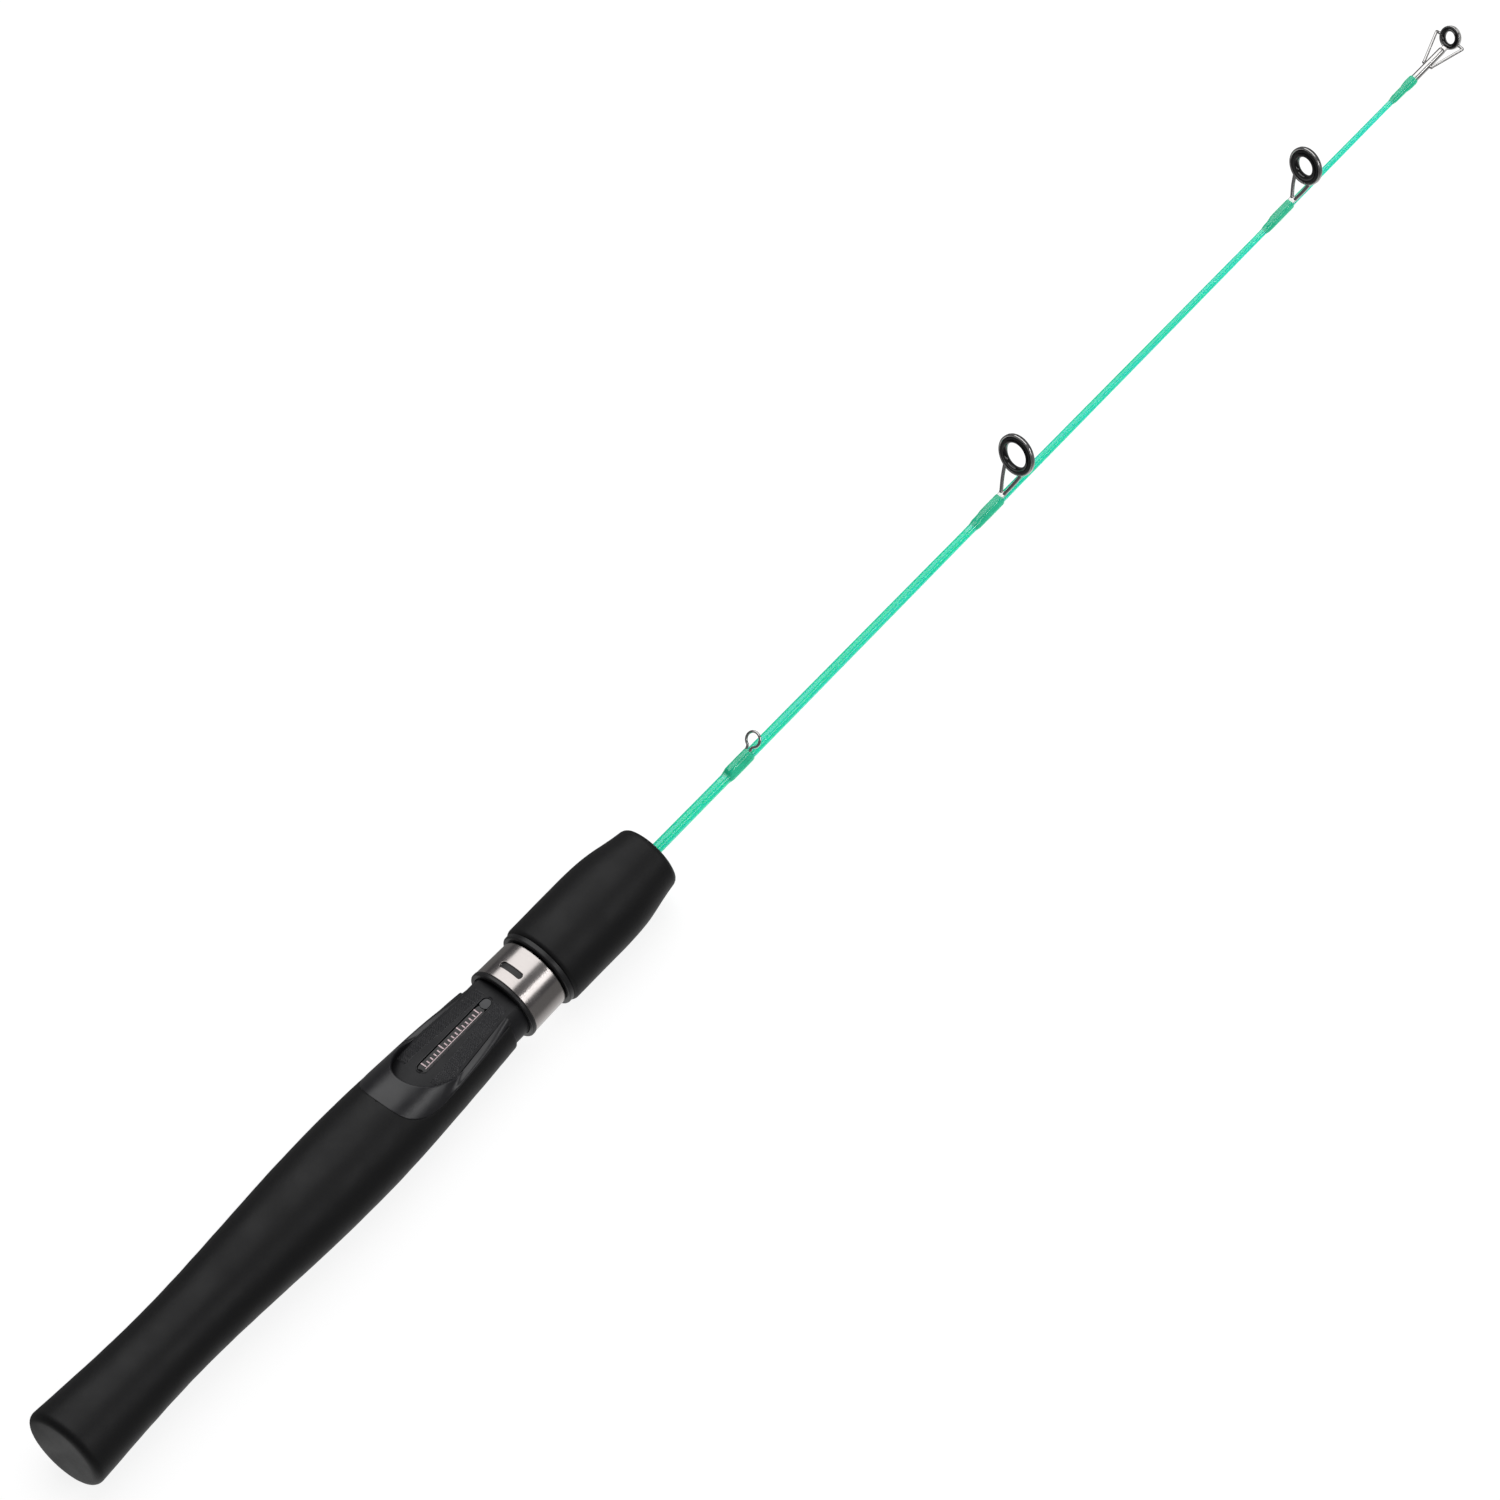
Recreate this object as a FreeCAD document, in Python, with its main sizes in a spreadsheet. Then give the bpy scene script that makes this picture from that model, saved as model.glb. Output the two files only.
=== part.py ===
"""Short ice fishing rod: foam handle with a screw-down reel seat, tapered glass blank,
hook keeper, two ring guides and a braced tip-top.

The origin is the centre of the flat butt face. +X runs along the rod to the tip, +Z points to the
side that carries the reel and the guides, and lengths are in millimetres.
"""
import FreeCAD, Part
import math
import os
import re

import Sketcher

V = FreeCAD.Vector

doc = FreeCAD.newDocument("ice_fishing_rod")
dims = doc.addObject("Spreadsheet::Sheet", "dims")

# ---------------------------------------------------------------- driving dimensions
DIMENSIONS = {
    # Rear grip: stations along the rod and the outer radius at each.
    "butt_edge": 2.6, "butt_radius": 13.9,
    "flare_end": 14.0, "flare_radius": 13.2,
    "waist_at": 46.0, "waist_radius": 11.95,
    "swell_at": 90.0, "swell_radius": 13.5,
    "shoulder_at": 130.0, "shoulder_radius": 14.3,
    "slope_at": 152.0, "slope_radius": 13.3,
    "neck_at": 170.0, "neck_radius": 12.1,
    "grip_end": 181.7, "grip_end_radius": 11.2,
    "core_start": 8.0, "core_end": 165.0, "core_radius": 5.0, "core_wall": 1.5,
    # Reel seat: barrel, inlaid shell with the fixed hood, and the bed that the reel foot lies on.
    "sleeve_start": 118.0, "sleeve_radius": 8.0,
    "barrel_start": 141.0, "barrel_end": 236.0, "barrel_radius": 10.4,
    "seat_proud": 0.12, "shell_end": 182.8, "shell_end_radius": 10.35,
    "seam_rear": 136.5, "seam_front": 152.0, "seam_height": 5.8,
    "bed_height": 8.2, "bed_crown_radius": 29.0, "bed_end": 212.0,
    "arch_at": 146.5, "arch_length": 11.5, "arch_half_width": 9.6, "arch_opening": 8.0,
    "pocket_start": 141.5, "pocket_radius": 12.7, "pocket_half_width": 7.3,
    "slot_start": 153.6, "slot_end": 184.2, "slot_half_width": 1.85, "slot_depth": 1.0,
    "badge_start": 153.8, "badge_end": 181.0, "badge_half_width": 1.65, "badge_thickness": 0.7,
    # Moving hood.
    "hood_start": 187.6, "hood_rim": 1.5, "hood_end": 201.7,
    "rim_radius": 12.05, "rim_round": 0.4,
    "hood_radius": 11.9, "hood_front_radius": 11.6, "hood_wall": 0.45, "hood_bore": 10.65,
    "window_at": 193.9, "window_half_width": 1.0, "window_half_angle": 20.0,
    "stop_start": 199.0, "stop_half_width": 5.0, "stop_clearance": 0.3,
    # Lock nut and foregrip.
    "nut_start": 202.3, "flange_width": 1.7, "flange_radius": 12.9, "flange_round": 0.5,
    "nut_radius": 11.7, "nut_end": 234.0,
    "fore_start": 204.0, "fore_round": 1.5, "fore_radius": 13.56, "fore_straight_end": 227.0,
    "fore_belly_at": 237.0, "fore_belly_radius": 12.9,
    "fore_slope_at": 245.0, "fore_slope_radius": 11.4,
    "fore_nose_at": 250.0, "fore_nose_radius": 10.6, "fore_nose_slope": 0.75, "fore_nose_bulge": 0.35,
    "fore_end": 251.0, "fore_face_radius": 9.0,
    "cavity_end": 240.5, "fore_hole": 2.3,
    # Blank and the bushes that centre it.
    "blank_start": 150.0, "blank_root_radius": 2.05, "blank_end": 590.5, "blank_tip_radius": 0.74,
    "rear_arbor_start": 151.0, "front_arbor_start": 222.0, "arbor_length": 13.0,
    # Hook keeper.
    "keeper_wrap_start": 283.5, "keeper_wrap_end": 293.6, "keeper_wrap_radius": 2.2,
    "keeper_lift": 0.35, "keeper_wire_radius": 0.42, "keeper_leg_spread": 0.6,
    "keeper_leg_share": 0.94, "keeper_bend_back": 0.3, "keeper_tail_back": 0.8,
    "keeper_ring_at": 296.2, "keeper_ring_height": 4.7, "keeper_ring_radius": 2.33,
    "keeper_lean": 49.0,
    # Guide frames: blank-side foot, two legs and a ring band that leans to the tip.
    "foot_width": 1.7, "foot_thickness": 0.5, "foot_length": 12.0, "neck_width": 2.3,
    "leg_radius": 0.55, "leg_root_spread": 0.71, "band_thickness": 1.3, "band_wall": 0.6,
    "weld_depth": 0.25,
    "guide1_foot_end": 403.6, "guide1_ring_at": 411.0, "guide1_ring_height": 11.9,
    "guide1_lean": 27.0, "guide1_band_radius": 6.5, "guide1_hole_radius": 3.86,
    "guide1_wrap_radius": 2.05,
    "guide2_foot_end": 529.2, "guide2_ring_at": 535.5, "guide2_ring_height": 9.7,
    "guide2_lean": 30.0, "guide2_band_radius": 5.8, "guide2_hole_radius": 2.8,
    "guide2_wrap_radius": 1.62,
    "leg_meet_angle": 32.0,
    # Thread wraps: how far each runs past a foot, and its spindle form.
    "wrap_lift": 0.2, "wrap_gap": 1.6, "wrap_back": 0.5, "wrap_lead": 1.8,
    "thread_start": 0.3, "thread_shoulder": 2.0, "thread_end_share": 0.93, "thread_full_share": 0.55,
    # Rings: the black shock ring holds a harder ring with a rounded bore.
    "shock_wall": 0.95, "shock_thickness": 1.8, "insert_thickness": 2.1, "insert_round": 0.55,
    # Tip-top.
    "tube_start": 578.0, "tube_end": 592.2, "tube_radius": 1.12, "tube_bore": 0.8,
    "tip_ring_at": 596.6, "tip_ring_height": 1.75, "tip_lean": 46.0,
    "tip_band_radius": 3.5, "tip_hole_radius": 1.78, "tip_band_wall": 0.5, "tip_shock_wall": 0.4,
    "brace_radius": 0.45, "brace_at": 586.4, "brace_spread": 5.1, "brace_end": 596.2,
    "brace_end_height": 0.9, "brace_meet_angle": 80.0,
    "tip_cap": 0.6, "tip_neck_half_width": 0.9, "tip_neck_thickness": 1.1, "tip_neck_drop": 0.75,
    "tip_wrap_start": 570.5, "tip_wrap_end": 580.4, "tip_wrap_radius": 1.3,
    # Clear coat over every thread wrap.
    "coat_thickness": 0.18, "coat_tail": 3.2, "coat_lip": 0.9,
    "coat_tail_height": 0.06, "coat_end_share": 0.8, "coat_overlap": 0.1,
    # How far a cutting form runs past what it cuts.
    "spare": 2.0,
}

for row, (alias, number) in enumerate(DIMENSIONS.items(), start=1):
    dims.set(f"A{row}", alias)
    dims.set(f"B{row}", str(number))
    dims.setAlias(f"B{row}", alias)
doc.recompute()


def cells(text):
    """Turn a formula in plain aliases into one that reads the sheet."""
    return re.sub(r"[a-z]\w*", lambda word: "dims." + word[0] if word[0] in DIMENSIONS else word[0],
                  text)


def size(text):
    """The value of a formula in plain aliases."""
    value = dims.evalExpression(cells(text))
    return float(getattr(value, "Value", value))


# ---------------------------------------------------------------- building helpers
def bind(thing, **formulas):
    """Bind properties to the sheet: Radius="core_radius" or Placement_Base_x="core_start"."""
    for name, formula in formulas.items():
        thing.setExpression(name.replace("_", "."), cells(formula))
    return thing


def along_rod(label, radius, start, end):
    """A cylinder about the rod's axis from one station to another."""
    cylinder = doc.addObject("Part::Cylinder", label)
    cylinder.Placement = FreeCAD.Placement(V(size(start), 0, 0), FreeCAD.Rotation(V(0, 1, 0), 90))
    bind(cylinder, Radius=radius, Height=f"({end}) - ({start})", Placement_Base_x=start)
    return cylinder


def block(label, start, end, half_width, low, high):
    """A box between two stations, centred across the rod, from a low to a high level."""
    box = doc.addObject("Part::Box", label)
    bind(box, Length=f"({end}) - ({start})", Width=f"2 * ({half_width})", Height=f"({high}) - ({low})",
         Placement_Base_x=start, Placement_Base_y=f"-({half_width})", Placement_Base_z=low)
    return box


def cut(label, base, *tools):
    """The base without the tools, taken away one after the other."""
    for number, tool in enumerate(tools, start=1):
        last = number == len(tools)
        result = doc.addObject("Part::Cut", label if last else f"{label}_step{number}")
        result.Base = base
        result.Tool = tool
        base = result
    return base


def fuse(label, *pieces):
    """All the pieces joined into one."""
    result = doc.addObject("Part::MultiFuse", label)
    result.Shapes = list(pieces)
    return result


def common(label, *pieces):
    """What the pieces share."""
    result = doc.addObject("Part::MultiCommon", label)
    result.Shapes = list(pieces)
    return result


def plane_of(body, role):
    """One of a body's own origin planes."""
    return next(item for item in body.Origin.OriginFeatures if item.Role == role)


def outline_sketch(body, corners):
    """A closed outline of straight sides on the XZ plane, each corner bound to the sheet."""
    sketch = body.newObject("Sketcher::SketchObject", body.Name + "_outline")
    sketch.AttachmentSupport = [(plane_of(body, "XZ_Plane"), "")]
    sketch.MapMode = "FlatFace"
    points = [V(size(along), size(out), 0) for along, out in corners]
    count = len(points)
    for index, point in enumerate(points):
        sketch.addGeometry(Part.LineSegment(point, points[(index + 1) % count]), False)
    for index, (along, out) in enumerate(corners):
        sketch.addConstraint(Sketcher.Constraint("Coincident", index, 2, (index + 1) % count, 1))
        for kind, formula in (("DistanceX", along), ("DistanceY", out)):
            if size(formula) == 0:
                axis = -2 if kind == "DistanceX" else -1
                sketch.addConstraint(Sketcher.Constraint("PointOnObject", index, 1, axis))
                continue
            number = sketch.addConstraint(
                Sketcher.Constraint(kind, -1, 1, index, 1, size(formula)))
            sketch.setExpression(f"Constraints[{number}]", cells(formula))
    return sketch


def turned(label, corners, rounds=()):
    """A body turned about the rod's axis. rounds holds (radius formula, station, radius) of edges."""
    body = doc.addObject("PartDesign::Body", label)
    sketch = outline_sketch(body, corners)
    turn = body.newObject("PartDesign::Revolution", label + "_turn")
    turn.Profile = sketch
    turn.ReferenceAxis = (sketch, ["H_Axis"])
    turn.Angle = 360
    sketch.Visibility = False
    doc.recompute()
    if rounds:
        names = [edge_at(turn.Shape, size(along), size(out)) for _, along, out in rounds]
        fillet = body.newObject("PartDesign::Fillet", label + "_round")
        fillet.Base = (turn, names)
        bind(fillet, Radius=rounds[0][0])
        body.Tip = fillet
    return body


def edge_at(shape, along, out):
    """The name of the full circle at one station and radius."""
    for index, edge in enumerate(shape.Edges, start=1):
        curve = edge.Curve
        if curve.TypeId == "Part::GeomCircle" and abs(curve.Radius - out) < 1e-4:
            if abs(curve.Center.x - along) < 1e-4:
                return f"Edge{index}"
    raise ValueError(f"no circle at {along}, {out}")


def tube_outline(start, end, inner, outer):
    """The outline of a plain tube."""
    return [(start, inner), (end, inner), (end, outer), (start, outer)]


def free_form(label, shape):
    """A piece whose outline is a smooth curve, made with Part's own functions."""
    feature = doc.addObject("Part::Feature", label)
    feature.Shape = shape
    return feature


def smooth_curve(stations):
    """A smooth curve in the XZ plane through (station, radius) formulas."""
    curve = Part.BSplineCurve()
    curve.interpolate([V(size(along), 0, size(out)) for along, out in stations])
    return curve.toShape()


def revolve(edges):
    """A solid turned about the rod's axis from the edges of an outline that starts and ends on it."""
    face = Part.Face(Part.Wire(edges))
    return face.revolve(V(0, 0, 0), V(1, 0, 0), 360)


def path_edges(points):
    """Straight edges from one (station, radius) pair of numbers to the next."""
    corners = [V(along, 0, out) for along, out in points]
    return [Part.LineSegment(a, b).toShape() for a, b in zip(corners, corners[1:])]


# ---------------------------------------------------------------- handle outline
def handle_form(proud, last):
    """The handle's outer form from the butt to its last station, grown by a small amount."""
    edge = size("butt_edge")
    butt = size("butt_radius") + proud
    corner = Part.Arc(
        V(0, 0, butt - edge),
        V(edge * (1 - math.sqrt(0.5)), 0, butt - edge * (1 - math.sqrt(0.5))),
        V(edge, 0, butt)).toShape()
    stations = [("butt_edge", "butt_radius"), ("flare_end", "flare_radius")]
    stations += [(f"{name}_at", f"{name}_radius") for name in
                 ("waist", "swell", "shoulder", "slope", "neck")]
    stations.append((last, last + "_radius"))
    outline = smooth_curve([(along, f"{out} + {proud}") for along, out in stations])
    end = size(last)
    return revolve(
        path_edges([(0, 0), (0, butt - edge)])
        + [corner, outline]
        + path_edges([(end, size(last + "_radius") + proud), (end, 0), (0, 0)]))


def seam_prism(width):
    """Everything above the seam between seat shell and foam, as a prism across the rod. The seam is a
    quarter of an ellipse that drops from the reel side, then a straight line along the handle."""
    rear, front, low = size("seam_rear"), size("seam_front"), size("seam_height")
    high = size("shoulder_radius + spare")
    end = size("bed_end")
    oval = Part.Ellipse(V(rear, -width, high), V(front, -width, low), V(front, -width, high))
    drop = Part.ArcOfEllipse(oval, 0, math.pi / 2).toShape()
    corners = [V(front, -width, low), V(end, -width, low), V(end, -width, high), V(rear, -width, high)]
    sides = [Part.LineSegment(a, b).toShape() for a, b in zip(corners, corners[1:])]
    face = Part.Face(Part.Wire([drop] + sides))
    return face.extrude(V(0, 2 * width, 0))


# ---------------------------------------------------------------- rear grip and its core
barrel = along_rod("barrel", "barrel_radius", "barrel_start", "barrel_end")
sleeve = along_rod("sleeve", "sleeve_radius", "sleeve_start", "barrel_start + spare")
core_bore = along_rod("core_bore", "core_radius", "core_start", "sleeve_start + spare")
grip_form = free_form("grip_form", handle_form(0, "grip_end"))
seam_form = free_form("seam_form", seam_prism(size("shoulder_radius + spare")))

rear_grip = cut("rear_grip", grip_form, seam_form, barrel, sleeve, core_bore)
core_tube = turned(
    "core_tube", tube_outline("core_start", "core_end", "core_radius - core_wall", "core_radius"))

# ---------------------------------------------------------------- reel seat
shell_form = free_form("shell_form", handle_form(size("seat_proud"), "shell_end"))
shell = common("seat_shell", shell_form, seam_form)
seat_blank = fuse("seat_blank", shell, barrel, sleeve)
seat_bore = along_rod("seat_bore", "core_radius", "sleeve_start - spare", "barrel_end + spare")

bed_floor = along_rod("bed_floor", "bed_crown_radius", "barrel_start - spare", "bed_end + spare")
bind(bed_floor, Placement_Base_z="bed_height - bed_crown_radius")


def arch_plan_prism():
    """The recess over the bed in plan: a half ellipse at the rear, then sides that open to full width."""
    long_axis, half = size("arch_length"), size("arch_half_width")
    centre, open_at, end = size("arch_at") + long_axis, size("arch_opening"), size("bed_end")
    wide = size("shoulder_radius + spare")
    arc = Part.ArcOfEllipse(
        Part.Ellipse(V(centre, 0, 0), long_axis, half), math.pi / 2, 3 * math.pi / 2).toShape()
    corners = [(centre, -half), (centre + open_at, -wide), (end, -wide), (end, wide),
               (centre + open_at, wide), (centre, half)]
    corners = [V(along, across, 0) for along, across in corners]
    sides = [Part.LineSegment(a, b).toShape() for a, b in zip(corners, corners[1:])]
    face = Part.Face(Part.Wire([arc] + sides))
    return face.extrude(V(0, 0, wide))


recess_plan = free_form("recess_plan", arch_plan_prism())
pocket_round = along_rod("pocket_round", "pocket_radius", "pocket_start", "slot_start")
pocket_sides = block("pocket_sides", "pocket_start", "slot_start", "pocket_half_width", "0",
                     "pocket_radius + spare")
foot_pocket = common("foot_pocket", pocket_round, pocket_sides)
recess = cut("recess", fuse("recess_room", recess_plan, foot_pocket), bed_floor)


def stadium(label, start, end, half_width, low, high):
    """A straight slot form with round ends, bound to the sheet."""
    body = doc.addObject("PartDesign::Body", label)
    sketch = body.newObject("Sketcher::SketchObject", label + "_outline")
    sketch.AttachmentSupport = [(plane_of(body, "XY_Plane"), "")]
    sketch.MapMode = "FlatFace"
    half = size(half_width)
    near = size(start) + half
    far = size(end) - half
    sketch.addGeometry([
        Part.LineSegment(V(near, -half, 0), V(far, -half, 0)),
        Part.ArcOfCircle(Part.Circle(V(far, 0, 0), V(0, 0, 1), half), -math.pi / 2, math.pi / 2),
        Part.LineSegment(V(far, half, 0), V(near, half, 0)),
        Part.ArcOfCircle(Part.Circle(V(near, 0, 0), V(0, 0, 1), half), math.pi / 2, 3 * math.pi / 2),
    ], False)
    for side in range(4):
        sketch.addConstraint(Sketcher.Constraint("Tangent", side, 2, (side + 1) % 4, 1))
    sketch.addConstraint(Sketcher.Constraint("PointOnObject", 1, 3, -1))
    sketch.addConstraint(Sketcher.Constraint("PointOnObject", 3, 3, -1))
    for kind, place, formula in (
        ("Radius", (1,), half_width),
        ("DistanceX", (-1, 1, 3, 3), f"({start}) + {half_width}"),
        ("DistanceX", (-1, 1, 1, 3), f"({end}) - {half_width}"),
    ):
        number = sketch.addConstraint(Sketcher.Constraint(kind, *place, size(formula)))
        sketch.setExpression(f"Constraints[{number}]", cells(formula))
    bind(sketch, AttachmentOffset_Base_z=low)
    pad = body.newObject("PartDesign::Pad", label + "_pad")
    pad.Profile = sketch
    bind(pad, Length=f"({high}) - ({low})")
    return body


badge_slot = stadium("badge_slot", "slot_start", "slot_end", "slot_half_width",
                     "bed_height - slot_depth", "bed_height + spare")
reel_seat_body = cut("reel_seat_body", seat_blank, seat_bore, recess, badge_slot)
badge_plate = stadium("badge_plate", "badge_start", "badge_end", "badge_half_width",
                      "bed_height - slot_depth", "bed_height - slot_depth + badge_thickness")

# ---------------------------------------------------------------- moving hood
sleeve_turn = turned("sleeve_turn", [
    ("hood_start + hood_rim", "hood_radius - hood_wall"),
    ("hood_end", "hood_radius - hood_wall"),
    ("hood_end", "hood_front_radius"),
    ("hood_start + hood_rim", "hood_radius")])


def window_cutter():
    """A slot with round ends that runs part of the way round the sleeve."""
    half_width, reach = size("window_half_width"), math.radians(size("window_half_angle"))
    outer = size("hood_radius + spare")
    inner = size("hood_radius - spare")
    middle = size("window_at")
    ring = Part.makeCylinder(outer, 2 * half_width, V(middle - half_width, 0, 0), V(1, 0, 0))
    ring = ring.cut(Part.makeCylinder(inner, 2 * half_width, V(middle - half_width, 0, 0), V(1, 0, 0)))
    inset = reach - half_width / size("hood_radius")
    span = 2 * outer * math.sin(inset)
    wedge = Part.makePolygon([
        V(0, 0, 0), V(0, -span, span / math.tan(inset)), V(0, span, span / math.tan(inset)), V(0, 0, 0)])
    sector = Part.Face(wedge).extrude(V(2 * half_width, 0, 0))
    sector.translate(V(middle - half_width, 0, 0))
    ends = []
    for side in (-1, 1):
        away = V(0, side * math.sin(inset), math.cos(inset))
        ends.append(Part.makeCylinder(half_width, outer - inner, V(middle, 0, 0) + away * inner, away))
    return ring.common(sector).fuse(ends)


hood_window = free_form("hood_window", window_cutter())
hood_sleeve = cut("hood_sleeve", sleeve_turn, hood_window)

liner_turn = turned("liner_turn", [
    ("hood_start", "hood_bore"),
    ("hood_end", "hood_bore"),
    ("hood_end", "hood_radius - hood_wall"),
    ("hood_start + hood_rim", "hood_radius - hood_wall"),
    ("hood_start + hood_rim", "rim_radius"),
    ("hood_start", "rim_radius")],
    rounds=[("rim_round", "hood_start", "rim_radius"), ("rim_round", "hood_start + hood_rim", "rim_radius")])
stop_round = along_rod("stop_round", "hood_bore + stop_clearance", "stop_start", "hood_end")
stop_sides = block("stop_sides", "stop_start", "hood_end", "stop_half_width", "0", "hood_bore + spare")
stop_floor = along_rod(
    "stop_floor", "bed_crown_radius + stop_clearance", "stop_start - spare", "hood_end + spare")
bind(stop_floor, Placement_Base_z="bed_height - bed_crown_radius")
foot_stop = cut("foot_stop", common("stop_form", stop_round, stop_sides), stop_floor)
hood_liner = fuse("hood_liner", liner_turn, foot_stop)

# ---------------------------------------------------------------- lock nut and foregrip
lock_nut = turned("lock_nut", [
    ("nut_start", "hood_bore"),
    ("nut_end", "hood_bore"),
    ("nut_end", "nut_radius"),
    ("nut_start + flange_width", "nut_radius"),
    ("nut_start + flange_width", "flange_radius"),
    ("nut_start", "flange_radius")],
    rounds=[("flange_round", "nut_start", "flange_radius")])


def foregrip_form():
    """The foregrip's outer form: a rounded rear edge, a straight part, then a nose that curves in."""
    start, end, straight_end = size("fore_start"), size("fore_end"), size("fore_straight_end")
    full, rear_round, face = size("fore_radius"), size("fore_round"), size("fore_face_radius")
    lag = rear_round * (1 - math.sqrt(0.5))
    rear_corner = Part.Arc(
        V(start, 0, full - rear_round),
        V(start + lag, 0, full - lag),
        V(start + rear_round, 0, full)).toShape()
    slope = Part.BSplineCurve()
    slope.interpolate(
        [V(size(along), 0, size(out)) for along, out in (
            ("fore_straight_end", "fore_radius"),
            ("fore_belly_at", "fore_belly_radius"),
            ("fore_slope_at", "fore_slope_radius"),
            ("fore_nose_at", "fore_nose_radius"))],
        InitialTangent=V(1, 0, 0), FinalTangent=V(1, 0, -size("fore_nose_slope")))
    nose, tip = V(size("fore_nose_at"), 0, size("fore_nose_radius")), V(end, 0, face)
    outward = V(nose.z - tip.z, 0, tip.x - nose.x).normalize()
    nose_corner = Part.Arc(nose, (nose + tip) / 2 + outward * size("fore_nose_bulge"), tip).toShape()
    return revolve(
        path_edges([(start, 0), (start, full - rear_round)])
        + [rear_corner]
        + path_edges([(start + rear_round, full), (straight_end, full)])
        + [slope.toShape(), nose_corner]
        + path_edges([(end, face), (end, 0), (start, 0)]))


fore_form = free_form("fore_form", foregrip_form())
nut_room = along_rod("nut_room", "nut_radius", "fore_start - spare", "nut_end")
cavity = along_rod("cavity", "hood_bore", "nut_end - spare", "cavity_end")
fore_bore = along_rod("fore_bore", "fore_hole", "cavity_end - spare", "fore_end + spare")
foregrip = cut("foregrip", fore_form, nut_room, cavity, fore_bore)

# ---------------------------------------------------------------- blank and bushes
blank = turned("blank", [
    ("blank_start", "0"),
    ("blank_end", "0"),
    ("blank_end", "blank_tip_radius"),
    ("blank_start", "blank_root_radius")])


def blank_radius(station):
    """A formula for the blank's radius at a station."""
    share = f"(({station}) - blank_start) / (blank_end - blank_start)"
    return f"(blank_root_radius - (blank_root_radius - blank_tip_radius) * {share})"


for label, start, outer in (
    ("rear_arbor", "rear_arbor_start", "core_radius - core_wall"),
    ("front_arbor", "front_arbor_start", "core_radius"),
):
    end = f"{start} + arbor_length"
    turned(label, [
        (start, blank_radius(start)), (end, blank_radius(end)), (end, outer), (start, outer)])


# ---------------------------------------------------------------- wraps and clear coats
def spindle(label, corners, lift):
    """A spindle about the rod from (station, radius) formulas, raised a little towards the guides."""
    first, last = corners[0][0], corners[-1][0]
    body = turned(label, [(first, "0"), (last, "0")] + corners[::-1])
    bind(body, Placement_Base_z=lift)
    return body


def wrap_and_coat(name, start, end, middle, lift, *cores):
    """A thread wrap over the blank and a foot, and the clear coat over the wrap."""
    root = f"{blank_radius(start)} + thread_start"
    full = f"({start}) * (1 - thread_full_share) + ({end}) * thread_full_share"
    shoulder = f"({end}) - thread_shoulder"
    thread = spindle(name + "_thread", [
        (start, root), (full, middle), (shoulder, middle), (end, f"({middle}) * thread_end_share")], lift)
    tail = f"({start}) - coat_tail"
    coat = spindle(name + "_coat_form", [
        (tail, f"{blank_radius(tail)} + coat_tail_height"),
        (start, f"{root} + coat_thickness"),
        (full, f"({middle}) + coat_thickness"),
        (shoulder, f"({middle}) + coat_thickness"),
        (f"({end}) + coat_overlap", f"({middle}) * thread_end_share + coat_thickness"),
        (f"({end}) + coat_lip", f"({middle}) * coat_end_share")], lift)
    cut(name + "_wrap", thread, *cores)
    cut(name + "_clear_coat", coat, thread, *cores)


# ---------------------------------------------------------------- hook keeper
def leaning(at, height, lean):
    """The placement of a ring whose face looks back and up: its axis leans from -X towards +Z."""
    return FreeCAD.Placement(V(size(at), 0, size(height)), FreeCAD.Rotation(V(0, 1, 0), size(lean)))


def bent_bar(points, radius):
    """A round bar along straight runs, with a ball at every bend but not at its two ends."""
    pieces = []
    for start, end in zip(points, points[1:]):
        along = end - start
        pieces.append(Part.makeCylinder(radius, along.Length, start, along))
    pieces += [Part.makeSphere(radius, bend) for bend in points[1:-1]]
    return pieces


def joined(pieces):
    """One solid from overlapping pieces."""
    return pieces[0].fuse(pieces[1:]).removeSplitter()


def keeper_shape():
    """A wire bent into a leaning ring, with two legs that lie along the blank."""
    wire = size("keeper_wire_radius")
    ring = size("keeper_ring_radius")
    lean = math.radians(90 - size("keeper_lean"))
    centre = V(size("keeper_ring_at"), 0, size("keeper_ring_height"))
    up = V(math.sin(lean), 0, math.cos(lean))
    pieces = [Part.makeTorus(ring, wire, centre, V(-math.cos(lean), 0, math.sin(lean)))]
    spread = size("keeper_leg_spread")
    leg = wire * size("keeper_leg_share")
    rest = size(blank_radius("keeper_wrap_start")) + wire
    for side in (-1, 1):
        low_point = centre - up * math.sqrt(ring ** 2 - spread ** 2) + V(0, side * spread, 0)
        bend = V(size("keeper_wrap_end - keeper_bend_back"), side * spread, rest)
        tail = V(size("keeper_wrap_start + keeper_tail_back"), side * spread, rest)
        pieces += bent_bar([low_point, bend, tail], leg)
    return joined(pieces)


keeper_wire = free_form("keeper_wire", keeper_shape())
wrap_and_coat("keeper", "keeper_wrap_start", "keeper_wrap_end", "keeper_wrap_radius", "keeper_lift",
              blank, keeper_wire)


# ---------------------------------------------------------------- guides
def ring_set(name, at, height, lean, hole, band, band_wall, shock_wall):
    """The black shock ring and the harder ring inside it, which both lean with the frame."""
    shock_outer = f"{band} - {band_wall}"
    shock_inner = f"{band} - {band_wall} - {shock_wall}"
    shock = turned(name + "_shock_ring",
                   tube_outline("-shock_thickness / 2", "shock_thickness / 2", shock_inner, shock_outer))
    insert = turned(
        name + "_ceramic_ring",
        tube_outline("-insert_thickness / 2", "insert_thickness / 2", hole, shock_inner),
        rounds=[("insert_round", "-insert_thickness / 2", hole),
                ("insert_round", "insert_thickness / 2", hole)])
    for ring in (shock, insert):
        ring.Placement = leaning(at, height, lean)


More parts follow.
